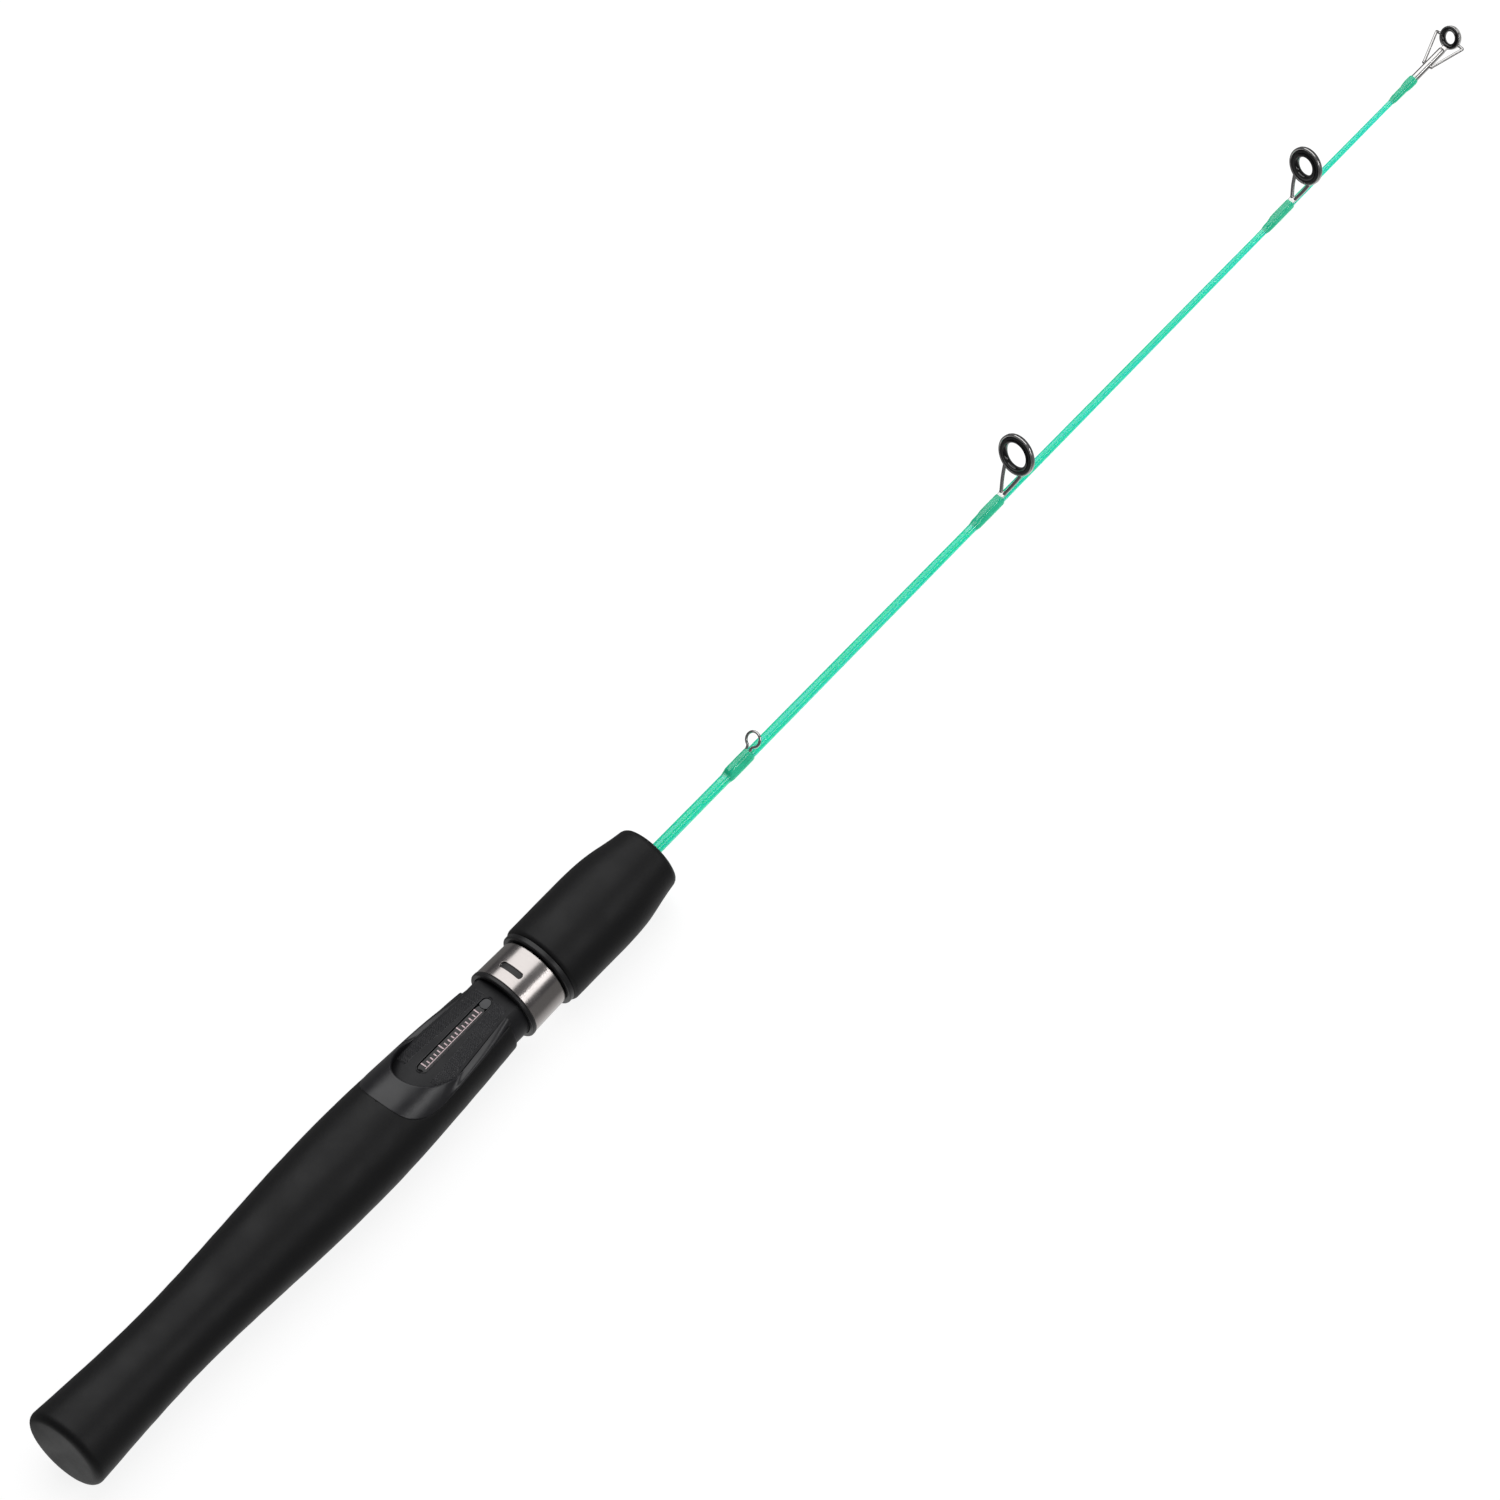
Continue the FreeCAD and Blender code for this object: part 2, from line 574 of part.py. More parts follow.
def bore_shape(at, height, lean, radius):
    """A cutting form that clears the room inside a leaning band."""
    length = 2 * size("band_thickness + spare") + size(radius)
    bore = Part.makeCylinder(size(radius), 2 * length, V(-length, 0, 0), V(1, 0, 0))
    bore.Placement = leaning(at, height, lean)
    return bore


def band_shape(at, height, lean, outer, wall):
    """The frame's round band."""
    thick = size("band_thickness")
    start = V(-thick / 2, 0, 0)
    band = Part.makeCylinder(size(outer), thick, start, V(1, 0, 0)).cut(
        Part.makeCylinder(size(f"{outer} - {wall}"), thick, start, V(1, 0, 0)))
    band.Placement = leaning(at, height, lean)
    return band


def ring_point(at, height, lean, radius, angle):
    """A point on a leaning ring, at an angle from its lowest point."""
    lean, angle = math.radians(size(lean)), math.radians(angle)
    down = radius * math.cos(angle)
    return V(size(at) - down * math.sin(lean), radius * math.sin(angle), size(height) - down * math.cos(lean))


def guide_frame_shape(name):
    """Foot, neck, two legs and band as one stamped piece."""
    foot_end = size(name + "_foot_end")
    foot_start = foot_end - size("foot_length")
    thick = size("foot_thickness")
    low = size(blank_radius(name + "_foot_end - foot_length"))
    narrow, wide = size("foot_width") / 2, size("neck_width") / 2
    waist = foot_end - size("wrap_gap")
    foot = Part.makeBox(foot_end - foot_start, 2 * narrow, thick, V(foot_start, -narrow, low))
    neck = Part.makeBox(foot_end - waist, 2 * wide, thick, V(waist, -wide, low))
    at, height, lean = name + "_ring_at", name + "_ring_height", name + "_lean"
    band = band_shape(at, height, lean, name + "_band_radius", "band_wall")
    bore = bore_shape(at, height, lean, name + "_band_radius - band_wall")
    leg, meet = size("leg_radius"), size(name + "_band_radius - weld_depth")
    legs = []
    for side in (-1, 1):
        bottom = V(foot_end - leg, side * size("leg_root_spread"), low + thick / 2)
        top = ring_point(at, height, lean, meet, side * size("leg_meet_angle"))
        legs += [bar.cut(bore) for bar in bent_bar([bottom, top], leg)]
    return joined([band, foot, neck] + legs)


for name in ("guide1", "guide2"):
    frame = free_form(name + "_frame", guide_frame_shape(name))
    ring_set(name, name + "_ring_at", name + "_ring_height", name + "_lean",
             name + "_hole_radius", name + "_band_radius", "band_wall", "shock_wall")
    wrap_and_coat(name, f"{name}_foot_end - foot_length - wrap_lead",
                  f"{name}_foot_end - wrap_gap - wrap_back",
                  name + "_wrap_radius", "wrap_lift", blank, frame)

# ---------------------------------------------------------------- tip-top
tip_tube = turned("tip_tube", tube_outline("tube_start", "tube_end", "tube_bore", "tube_radius"))


def tip_frame_shape():
    """The tip-top's band, the neck that joins it to the tube, and the cap over the tube's end."""
    place = ("tip_ring_at", "tip_ring_height", "tip_lean")
    band = band_shape(*place, "tip_band_radius", "tip_band_wall")
    bottom = ring_point(*place, size("tip_band_radius - weld_depth"), 0)
    end, half = size("tube_end"), size("tip_neck_half_width")
    cap = Part.makeCylinder(size("tube_radius"), size("tip_cap"), V(end, 0, 0), V(1, 0, 0))
    neck = Part.makeBox(bottom.x - end + 2 * size("weld_depth"), 2 * half, size("tip_neck_thickness"),
                        V(end, -half, -size("tip_neck_drop")))
    bore = bore_shape(*place, "tip_band_radius - tip_band_wall")
    return joined([band, cap.cut(bore), neck.cut(bore)])


free_form("tip_frame", tip_frame_shape())
ring_set("tip", "tip_ring_at", "tip_ring_height", "tip_lean",
         "tip_hole_radius", "tip_band_radius", "tip_band_wall", "tip_shock_wall")


def brace_shapes():
    """Two bent wires from the sides of the tube to the sides of the band."""
    wire = size("brace_radius")
    braces = []
    for side in (-1, 1):
        root = V(size("brace_at"), side * (size("tube_radius") + wire), 0)
        knee = V(size("brace_end"), side * size("brace_spread"), size("brace_end_height"))
        meet = ring_point("tip_ring_at", "tip_ring_height", "tip_lean",
                          size("tip_band_radius") + wire, side * size("brace_meet_angle"))
        braces.append(joined(bent_bar([root, knee, meet], wire)))
    return Part.makeCompound(braces)


free_form("tip_braces", brace_shapes())
wrap_and_coat("tip", "tip_wrap_start", "tip_wrap_end", "tip_wrap_radius", "0", blank, tip_tube)

# ---------------------------------------------------------------- check and write
SUB_PARTS = [
    "rear_grip", "core_tube", "reel_seat_body", "badge_plate",
    "hood_sleeve", "hood_liner", "lock_nut", "foregrip",
    "blank", "rear_arbor", "front_arbor",
    "keeper_wire", "keeper_wrap", "keeper_clear_coat",
]
for name in ("guide1", "guide2"):
    SUB_PARTS += [f"{name}_{piece}" for piece in (
        "frame", "shock_ring", "ceramic_ring", "wrap", "clear_coat")]
SUB_PARTS += ["tip_tube", "tip_frame", "tip_braces", "tip_shock_ring", "tip_ceramic_ring",
              "tip_wrap", "tip_clear_coat"]

doc.recompute()
for thing in doc.Objects:
    if "Invalid" in thing.State or "Error" in thing.State:
        raise RuntimeError(f"{thing.Label} failed: {thing.State}")

os.makedirs("parts", exist_ok=True)
for label in SUB_PARTS:
    shape = doc.getObjectsByLabel(label)[0].Shape
    if shape.isNull() or not shape.isValid():
        raise RuntimeError(f"{label} has no valid shape")
    shape.exportStep(f"parts/{label}.step")
    print(f"{label}: {len(shape.Solids)} solid, {shape.Volume:.1f} mm3")
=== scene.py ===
import math

import bmesh
import bpy
import numpy as np
from mathutils import Matrix, Vector, noise


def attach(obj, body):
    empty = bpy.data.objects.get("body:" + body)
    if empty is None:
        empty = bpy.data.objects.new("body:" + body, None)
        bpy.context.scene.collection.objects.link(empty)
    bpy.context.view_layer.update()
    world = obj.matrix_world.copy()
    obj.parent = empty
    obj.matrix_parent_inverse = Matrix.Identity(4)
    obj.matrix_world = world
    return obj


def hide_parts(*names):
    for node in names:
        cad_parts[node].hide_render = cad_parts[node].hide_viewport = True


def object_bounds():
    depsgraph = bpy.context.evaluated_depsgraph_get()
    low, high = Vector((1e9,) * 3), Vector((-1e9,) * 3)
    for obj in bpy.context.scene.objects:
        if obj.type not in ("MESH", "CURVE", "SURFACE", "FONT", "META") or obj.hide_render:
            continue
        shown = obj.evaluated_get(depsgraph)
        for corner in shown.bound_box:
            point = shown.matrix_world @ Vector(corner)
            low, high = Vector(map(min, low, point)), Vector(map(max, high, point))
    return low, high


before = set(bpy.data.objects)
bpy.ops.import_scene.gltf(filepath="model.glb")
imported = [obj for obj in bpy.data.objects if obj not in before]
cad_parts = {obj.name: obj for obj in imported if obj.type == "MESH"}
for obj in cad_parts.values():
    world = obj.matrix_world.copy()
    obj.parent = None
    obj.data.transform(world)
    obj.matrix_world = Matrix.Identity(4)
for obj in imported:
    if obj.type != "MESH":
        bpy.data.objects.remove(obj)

cad_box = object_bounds()
MM = 0.001

# ------------------------ the rod's sizes, in millimetres
BUTT_EDGE, BUTT_RADIUS = 2.6, 13.9
GRIP_STATIONS = [(BUTT_EDGE, BUTT_RADIUS), (14, 13.2), (46, 11.95), (90, 13.5), (130, 14.3),
                 (152, 13.3), (170, 12.1)]
GRIP_END = (181.7, 11.2)
FOAM_BORE = 10.42
SHELL_END = (182.8, 10.35)
SEAM_REAR, SEAM_FRONT, SEAM_LOW, SEAM_HIGH = 136.5, 152.0, 5.8, 16.3
SHELL_PROUD = 0.12
BARREL_START, BARREL_END, BARREL_RADIUS = 141.0, 236.0, 10.4
ARCH_AT, ARCH_LENGTH, ARCH_HALF_WIDTH = 146.5, 11.5, 9.6
ARCH_CENTRE = ARCH_AT + ARCH_LENGTH
BED_NARROW_AT, BED_NARROW_HALF_WIDTH = 186.0, 6.9
BED_HEIGHT, BED_CROWN, BED_END = 8.2, 29.0, 212.0
POCKET_RADIUS = 12.7
SLOT_START, SLOT_END, SLOT_HALF_WIDTH, SLOT_DEPTH = 153.6, 184.2, 1.85, 1.0
BADGE_START, BADGE_END, BADGE_HALF_WIDTH, BADGE_THICKNESS = 153.8, 181.0, 1.65, 0.7
BLANK_START, BLANK_END, BLANK_ROOT, BLANK_TIP = 150.0, 590.5, 2.05, 0.74
FORE_START, FORE_END, FORE_ROUND = 204.0, 251.0, 1.5
FORE_RADIUS, FORE_STRAIGHT_END, FORE_FACE_RADIUS = 13.56, 227.0, 9.0
FORE_BORE, FORE_CAVITY_END, FORE_CAVITY_RADIUS = 2.3, 240.5, 10.6
FORE_STATIONS = [(FORE_STRAIGHT_END, FORE_RADIUS), (237, 12.9), (245, 11.4), (250, 10.6)]

REAR_UNEVEN, FORE_UNEVEN, UNEVEN_SIZE = 0.05, 0.04, 5.0
MERGE = 1e-4

# ------------------------ mesh helpers


def spline(stations):
    """A natural cubic spline through (x, y) stations, as a function of x."""
    xs = np.array([p[0] for p in stations], float)
    ys = np.array([p[1] for p in stations], float)
    gaps, count = np.diff(xs), len(xs)
    system, right = np.eye(count), np.zeros(count)
    for i in range(1, count - 1):
        system[i, i - 1:i + 2] = gaps[i - 1], 2 * (gaps[i - 1] + gaps[i]), gaps[i]
        right[i] = 6 * ((ys[i + 1] - ys[i]) / gaps[i] - (ys[i] - ys[i - 1]) / gaps[i - 1])
    bend = np.linalg.solve(system, right)

    def at(x):
        i = min(max(int(np.searchsorted(xs, x)) - 1, 0), count - 2)
        a, b, gap = xs[i + 1] - x, x - xs[i], gaps[i]
        return float((bend[i] * a ** 3 + bend[i + 1] * b ** 3) / (6 * gap)
                     + (ys[i] / gap - bend[i] * gap / 6) * a
                     + (ys[i + 1] / gap - bend[i + 1] * gap / 6) * b)

    return at


def smooth_step(x, low, high):
    """0 below low, 1 above high, and a smooth rise between."""
    share = min(max((x - low) / (high - low), 0.0), 1.0)
    return share * share * (3 - 2 * share)


def arc(centre, radius, start, end, steps):
    """Points of a circular arc, angles in degrees, as (x, r) pairs."""
    turns = np.radians(np.linspace(start, end, steps + 1))
    return [(centre[0] + radius * math.cos(t), centre[1] + radius * math.sin(t)) for t in turns]


def grid(points, wrap_rows=False, wrap_cols=False, cap_rows=False):
    """Vertices and quads of a grid of points of shape (rows, columns, 3), with flat end caps if asked."""
    rows, cols = points.shape[:2]
    verts = [tuple(p) for p in points.reshape(-1, 3)]
    faces = []
    for i in range(rows if wrap_rows else rows - 1):
        for j in range(cols if wrap_cols else cols - 1):
            a, b = i * cols + j, i * cols + (j + 1) % cols
            c, d = ((i + 1) % rows) * cols + (j + 1) % cols, ((i + 1) % rows) * cols + j
            faces.append((a, b, c, d))
    if cap_rows:
        faces.append(tuple(range(cols))[::-1])
        faces.append(tuple(range((rows - 1) * cols, rows * cols)))
    return verts, faces


def lathe(profile, segments=96):
    """A closed turned form about the X axis from a loop of (x, r) points."""
    profile = np.array(profile, float)
    turns = np.linspace(0, 2 * math.pi, segments, endpoint=False)
    points = np.zeros((len(profile), segments, 3))
    points[:, :, 0] = profile[:, 0][:, None]
    points[:, :, 1] = profile[:, 1][:, None] * np.sin(turns)
    points[:, :, 2] = profile[:, 1][:, None] * np.cos(turns)
    return points


def ring_loft(profile, segments=96):
    """A turned ring from a closed (x, r) loop that stays clear of the axis."""
    return grid(lathe(profile, segments), wrap_rows=True, wrap_cols=True)


def rod_loft(profile, segments=96):
    """A turned solid from an open (x, r) line, with a flat cap at each end."""
    return grid(lathe(profile, segments), wrap_cols=True, cap_rows=True)


def moved(part, place):
    """A part carried by a 4x4 placement in millimetres."""
    verts, faces = part
    return [tuple(place @ Vector(v)) for v in verts], faces


def sweep(path, section, closed=False):
    """A section of (a, b) offsets carried along a path without twist."""
    path = [Vector(p) for p in path]
    count = len(path)
    side = None
    rows = []
    for i, point in enumerate(path):
        ahead = path[(i + 1) % count] if closed else path[min(i + 1, count - 1)]
        behind = path[i - 1] if closed or i else path[0]
        along = (ahead - behind).normalized()
        if side is None:
            guess = Vector((0, 0, 1)) if abs(along.z) < 0.9 else Vector((0, 1, 0))
            side = guess.cross(along).normalized()
        side = (side - along * side.dot(along)).normalized()
        up = along.cross(side)
        rows.append([tuple(point + side * a + up * b) for a, b in section])
    return grid(np.array(rows), wrap_rows=closed, wrap_cols=True, cap_rows=not closed)


def round_section(radius, count):
    """Offsets of a circle."""
    return [(radius * math.cos(t), radius * math.sin(t))
            for t in np.linspace(0, 2 * math.pi, count, endpoint=False)]


def smooth_path(points, samples=120):
    """A NURBS line of order 4 through the run of control points, as a list of points."""
    curve = bpy.data.curves.new("path", "CURVE")
    curve.dimensions = "3D"
    line = curve.splines.new("NURBS")
    line.points.add(len(points) - 1)
    for knot, point in zip(line.points, points):
        knot.co = (*point, 1)
    line.order_u, line.use_endpoint_u = 4, True
    line.resolution_u = max(2, samples // len(points))
    holder = bpy.data.objects.new("path", curve)
    mesh = bpy.data.meshes.new_from_object(holder)
    found = [v.co.copy() for v in mesh.vertices]
    bpy.data.objects.remove(holder)
    bpy.data.curves.remove(curve)
    bpy.data.meshes.remove(mesh)
    return found


def join_parts(parts):
    """One vertex and face list from several."""
    verts, faces = [], []
    for part_verts, part_faces in parts:
        base = len(verts)
        verts += part_verts
        faces += [tuple(base + i for i in face) for face in part_faces]
    return verts, faces


def piece(name, part, body, material, nodes=(), smooth_angle=35.0):
    """A Blender object in metres from a part in millimetres, riding on a body."""
    verts, faces = part
    mesh = bpy.data.meshes.new(name)
    mesh.from_pydata([(x * MM, y * MM, z * MM) for x, y, z in verts], [], faces)
    work = bmesh.new()
    work.from_mesh(mesh)
    bmesh.ops.remove_doubles(work, verts=work.verts, dist=MERGE * MM)
    bmesh.ops.dissolve_degenerate(work, edges=work.edges, dist=MERGE * MM)
    bmesh.ops.recalc_face_normals(work, faces=work.faces)
    limit = math.radians(smooth_angle)
    for face in work.faces:
        face.smooth = True
    for edge in work.edges:
        edge.smooth = not (edge.is_manifold and edge.calc_face_angle(0) > limit)
    work.to_mesh(mesh)
    work.free()
    made = bpy.data.objects.new(name, mesh)
    bpy.context.scene.collection.objects.link(made)
    mesh.materials.append(material)
    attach(made, body)
    if nodes:
        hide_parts(*nodes)
    return made


# ------------------------ materials
class Look:
    """A node material on a Principled shader, with small helpers for its node tree."""

    def __init__(self, name, **sockets):
        self.material = bpy.data.materials.new(name)
        self.material.use_nodes = True
        self.tree = self.material.node_tree
        self.shader = self.tree.nodes["Principled BSDF"]
        for key, value in sockets.items():
            self.shader.inputs[key.replace("_", " ")].default_value = value

    def node(self, kind, **settings):
        made = self.tree.nodes.new(kind)
        for key, value in settings.items():
            if hasattr(made, key):
                setattr(made, key, value)
            else:
                made.inputs[key.replace("_", " ")].default_value = value
        return made

    def link(self, source, target):
        self.tree.links.new(source, target)

    def place(self, scale=(1, 1, 1)):
        """Object coordinates in metres, stretched."""
        coords = self.node("ShaderNodeTexCoord")
        mapping = self.node("ShaderNodeMapping")
        mapping.inputs["Scale"].default_value = scale
        self.link(coords.outputs["Object"], mapping.inputs["Vector"])
        return mapping.outputs["Vector"]

    def noise(self, scale, detail=3.0, roughness=0.5, stretch=(1, 1, 1)):
        made = self.node("ShaderNodeTexNoise", Scale=scale, Detail=detail, Roughness=roughness)
        self.link(self.place(stretch), made.inputs["Vector"])
        return made.outputs["Fac"]

    def cells(self, scale, stretch=(1, 1, 1)):
        made = self.node("ShaderNodeTexVoronoi", Scale=scale)
        self.link(self.place(stretch), made.inputs["Vector"])
        return made.outputs["Distance"]

    def ramp(self, source, low, high, start=0.0, end=1.0):
        """A number or colour that goes from low to high as the source goes from start to end."""
        made = self.node("ShaderNodeValToRGB")
        made.color_ramp.elements[0].position, made.color_ramp.elements[1].position = start, end
        for element, value in zip(made.color_ramp.elements, (low, high)):
            element.color = (*value, 1) if isinstance(value, tuple) else (value, value, value, 1)
        self.link(source, made.inputs["Fac"])
        return made.outputs["Color"]

    def colour(self, source):
        self.link(source, self.shader.inputs["Base Color"])
        return self

    def roughness(self, source):
        self.link(source, self.shader.inputs["Roughness"])
        return self

    def bump(self, *layers):
        """Layers of (height, distance in millimetres, strength)."""
        last = None
        for height, distance, strength in layers:
            made = self.node("ShaderNodeBump", Strength=strength, Distance=distance * MM)
            self.link(height, made.inputs["Height"])
            if last:
                self.link(last, made.inputs["Normal"])
            last = made.outputs["Normal"]
        self.link(last, self.shader.inputs["Normal"])
        return self


def foam_look():
    look = Look("eva_foam", Specular_IOR_Level=0.32)
    fine = look.noise(5200, 4, 0.65)
    pores = look.cells(2600)
    patches = look.noise(90, 3, 0.6)
    look.colour(look.ramp(fine, (0.004, 0.004, 0.0043), (0.0085, 0.0085, 0.0092), 0.3, 0.75))
    look.roughness(look.ramp(patches, 0.46, 0.56, 0.3, 0.7))
    return look.bump((patches, 0.25, 0.1), (pores, 0.05, 0.22), (fine, 0.04, 0.3)).material


def plastic_look(name, shade, rough, grain=0.25, shine=0.5):
    look = Look(name, Specular_IOR_Level=shine)
    fine = look.noise(7000, 3, 0.6)
    broad = look.noise(160, 2, 0.5)
    look.colour(look.ramp(fine, tuple(c * 0.85 for c in shade), tuple(c * 1.15 for c in shade), 0.3, 0.7))
    look.roughness(look.ramp(broad, rough - 0.04, rough + 0.05, 0.3, 0.7))
    return look.bump((fine, 0.02, grain)).material


def gloss_look(name, shade, rough, coat):
    look = Look(name, Specular_IOR_Level=0.4, Coat_Weight=coat, Coat_Roughness=0.03)
    fine = look.noise(900, 2, 0.5)
    look.colour(look.ramp(fine, shade, tuple(c * 1.3 for c in shade), 0.35, 0.7))
    look.roughness(look.ramp(fine, rough, rough + 0.06, 0.3, 0.7))
    return look.bump((fine, 0.01, 0.15)).material


def metal_look(name, shade, rough, stretch, lines=0.3):
    look = Look(name, Metallic=1.0)
    grain = look.noise(1500, 4, 0.6, stretch)
    smudge = look.noise(120, 3, 0.5)
    look.colour(look.ramp(grain, tuple(c * 0.92 for c in shade), shade, 0.3, 0.7))
    look.roughness(look.ramp(smudge, rough * 0.85, rough * 1.25, 0.3, 0.7))
    return look.bump((grain, 0.01, lines)).material


def blank_look():
    look = Look("translucent_glass_fibre", Coat_Weight=0.4, Coat_Roughness=0.04, Specular_IOR_Level=0.5,
                Subsurface_Weight=0.85, Subsurface_Scale=0.004)
    look.shader.inputs["Subsurface Radius"].default_value = (0.1, 1.0, 0.7)
    fibres = look.noise(900, 3, 0.55, (0.03, 1, 1))
    drift = look.noise(26, 2, 0.5)
    look.colour(look.ramp(fibres, (0.02, 0.9, 0.54), (0.05, 1.0, 0.68), 0.32, 0.68))
    look.roughness(look.ramp(drift, 0.12, 0.2, 0.3, 0.7))
    return look.bump((fibres, 0.02, 0.25)).material


def thread_look():
    look = Look("wrap_thread", Specular_IOR_Level=0.15)
    strands = look.noise(2500, 3, 0.6, (1, 0.3, 0.3))
    drift = look.noise(220, 2, 0.5)
    look.colour(look.ramp(drift, (0.012, 0.62, 0.34), (0.03, 0.76, 0.44), 0.3, 0.72))
    look.roughness(look.ramp(drift, 0.5, 0.62, 0.3, 0.7))
    return look.bump((strands, 0.02, 0.08)).material


def coat_look():
    """A thin clear skin: mostly see-through, with the gloss of poured epoxy."""
    look = Look("clear_epoxy", Alpha=0.12, Specular_IOR_Level=0.5)
    ripple = look.noise(240, 2, 0.5)
    look.colour(look.ramp(ripple, (0.03, 0.72, 0.46), (0.05, 0.8, 0.54), 0.3, 0.7))
    look.roughness(look.ramp(ripple, 0.03, 0.08, 0.3, 0.7))
    look.bump((ripple, 0.04, 0.15))
    gloss = look.node("ShaderNodeBsdfGlossy", Color=(0.05, 0.05, 0.05, 1), Roughness=0.06)
    both = look.node("ShaderNodeAddShader")
    look.link(look.shader.outputs["BSDF"], both.inputs[0])
    look.link(gloss.outputs["BSDF"], both.inputs[1])
    look.link(both.outputs["Shader"], look.tree.nodes["Material Output"].inputs["Surface"])
    return look.material


FOAM = foam_look()
SEAT = plastic_look("satin_seat_plastic", (0.0095, 0.0093, 0.0115), 0.34, 0.25, 0.65)
BED = plastic_look("satin_bed_plastic", (0.0105, 0.0105, 0.0125), 0.46, 0.25, 0.32)
# Painted highlight: the knurl is the bed's plastic, but its base colour is about twice as light, standing
# in for the glints on its pyramids.
KNURL = plastic_look("knurled_plastic_painted_glint", (0.02, 0.02, 0.023), 0.3, 0.2, 0.55)
HOOD_PLASTIC = plastic_look("satin_hood_plastic", (0.009, 0.009, 0.01), 0.4)
CORE = plastic_look("core_plastic", (0.12, 0.12, 0.13), 0.5)
BADGE = gloss_look("gloss_badge", (0.003, 0.003, 0.004), 0.06, 0.1)
BADGE_MARK = plastic_look("badge_marks", (0.9, 0.7, 0.72), 0.3, 0.1)
SLOT_END_LOOK = plastic_look("grey_slot_end", (0.05, 0.052, 0.056), 0.3, 0.1)
SHOCK = plastic_look("shock_ring_black", (0.006, 0.006, 0.007), 0.34, 0.15)
CERAMIC = gloss_look("polished_ceramic", (0.004, 0.004, 0.0045), 0.05, 1.0)
HOOD_METAL = metal_look("turned_hood_metal", (0.52, 0.485, 0.47), 0.2, (9, 0.12, 0.12), 0.3)
STEEL = metal_look("polished_steel", (0.64, 0.63, 0.62), 0.13, (1, 1, 1), 0.08)
BLANK = blank_look()
THREAD = thread_look()
COAT = coat_look()

# ------------------------ outlines of the handle
grip_radius = spline(GRIP_STATIONS + [GRIP_END])
shell_radius = spline(GRIP_STATIONS + [SHELL_END])


def seam_angle(x):
    """Half the angle, from the reel side, that the plastic shell takes up at a station."""
    if x < SEAM_REAR:
        return 0.0
    share = max((SEAM_FRONT - x) / (SEAM_FRONT - SEAM_REAR), 0.0)
    height = SEAM_LOW
    if x < SEAM_FRONT:
        height = SEAM_HIGH - (SEAM_HIGH - SEAM_LOW) * math.sqrt(1 - share ** 2)
    return math.acos(min(height / grip_radius(x), 1.0))


def arch_half_width(x):
    """Half the width of the open bed at a station."""
    if x < ARCH_CENTRE:
        share = min((ARCH_CENTRE - x) / ARCH_LENGTH, 1.0)
        return ARCH_HALF_WIDTH * math.sqrt(1 - share ** 2)
    widths = [ARCH_HALF_WIDTH, BED_NARROW_HALF_WIDTH]
    return float(np.interp(x, [ARCH_CENTRE, BED_NARROW_AT], widths))


def bed_level(y):
    """The height of the slightly crowned bed."""
    return BED_HEIGHT - BED_CROWN + math.sqrt(BED_CROWN ** 2 - y ** 2)


def blank_radius(x):
    """The blank's radius at a station."""
    return float(np.interp(x, [BLANK_START, BLANK_END], [BLANK_ROOT, BLANK_TIP]))


# ------------------------ rear grip
def uneven(points, amount, size):
    """Moves points in or out from the rod's axis by a smooth unevenness, the same on every run."""
    for row in points:
        for point in row:
            lift = noise.noise(Vector(point) / size) * amount
            out = Vector((0, point[1], point[2]))
            if out.length > 1e-6:
                point += np.array(out.normalized() * lift)
    return points


def rear_grip_part():
    """The foam grip: rounded corner at the butt, and at the front an opening for the seat's shell."""
    rear = [(0.0, r) for r in np.linspace(0.0, BUTT_RADIUS - BUTT_EDGE, 9)][1:]
    rear += arc((BUTT_EDGE, BUTT_RADIUS - BUTT_EDGE), BUTT_EDGE, 180, 90, 8)[1:]
    plain = [(x, grip_radius(x)) for x in np.arange(3.2, SEAM_REAR - 0.4, 0.8)]
    plain.append((SEAM_REAR - 0.005, grip_radius(SEAM_REAR)))
    turns = np.linspace(0.02, math.pi / 2, 46)
    slit = [SEAM_FRONT - (SEAM_FRONT - SEAM_REAR) * math.cos(t) for t in turns]
    slit += list(np.arange(SEAM_FRONT + 0.7, GRIP_END[0] - 0.7, 0.7))
    end, end_radius = GRIP_END
    front = [(x, grip_radius(x)) for x in slit]
    front += [(end - 0.6, grip_radius(end - 0.6)), (end - 0.25, end_radius - 0.03),
              (end - 0.06, end_radius - 0.2), (end, end_radius - 0.45), (end, FOAM_BORE)]
    rows = [(x, r, 0.0) for x, r in rear + plain] + [(x, r, 1.0) for x, r in front]
    inner = np.linspace(0, 1, 150)
    wall = [(0.0, -1.6), (0.0, -0.3), (0.07, -0.09), (0.25, 0.0)]
    points = np.zeros((len(rows), len(inner) + 2 * len(wall), 3))
    for i, (x, radius, opened) in enumerate(rows):
        start = seam_angle(min(x, end)) * opened
        least = FOAM_BORE if opened else 0
        step = [(start + aside / max(radius, 1) * opened, max(radius + depth * opened, least))
                for aside, depth in wall]
        begin = start + 0.5 / max(radius, 1) * opened
        span = [(begin + (2 * math.pi - 2 * begin) * share, radius) for share in inner]
        back = [(2 * math.pi - angle, r) for angle, r in step[::-1]]
        for j, (angle, r) in enumerate(step + span + back):
            points[i, j] = (x, r * math.sin(angle), r * math.cos(angle))
    points = uneven(points, REAR_UNEVEN, UNEVEN_SIZE)
    verts, faces = grid(points)
    verts.append((0.0, 0.0, 0.0))
    cols = points.shape[1]
    faces += [(len(verts) - 1, j + 1, j) for j in range(cols - 1)]
    return verts, faces


rear_grip = piece("rear_grip_foam", rear_grip_part(), "rod", FOAM, ["rear_grip"], 50)


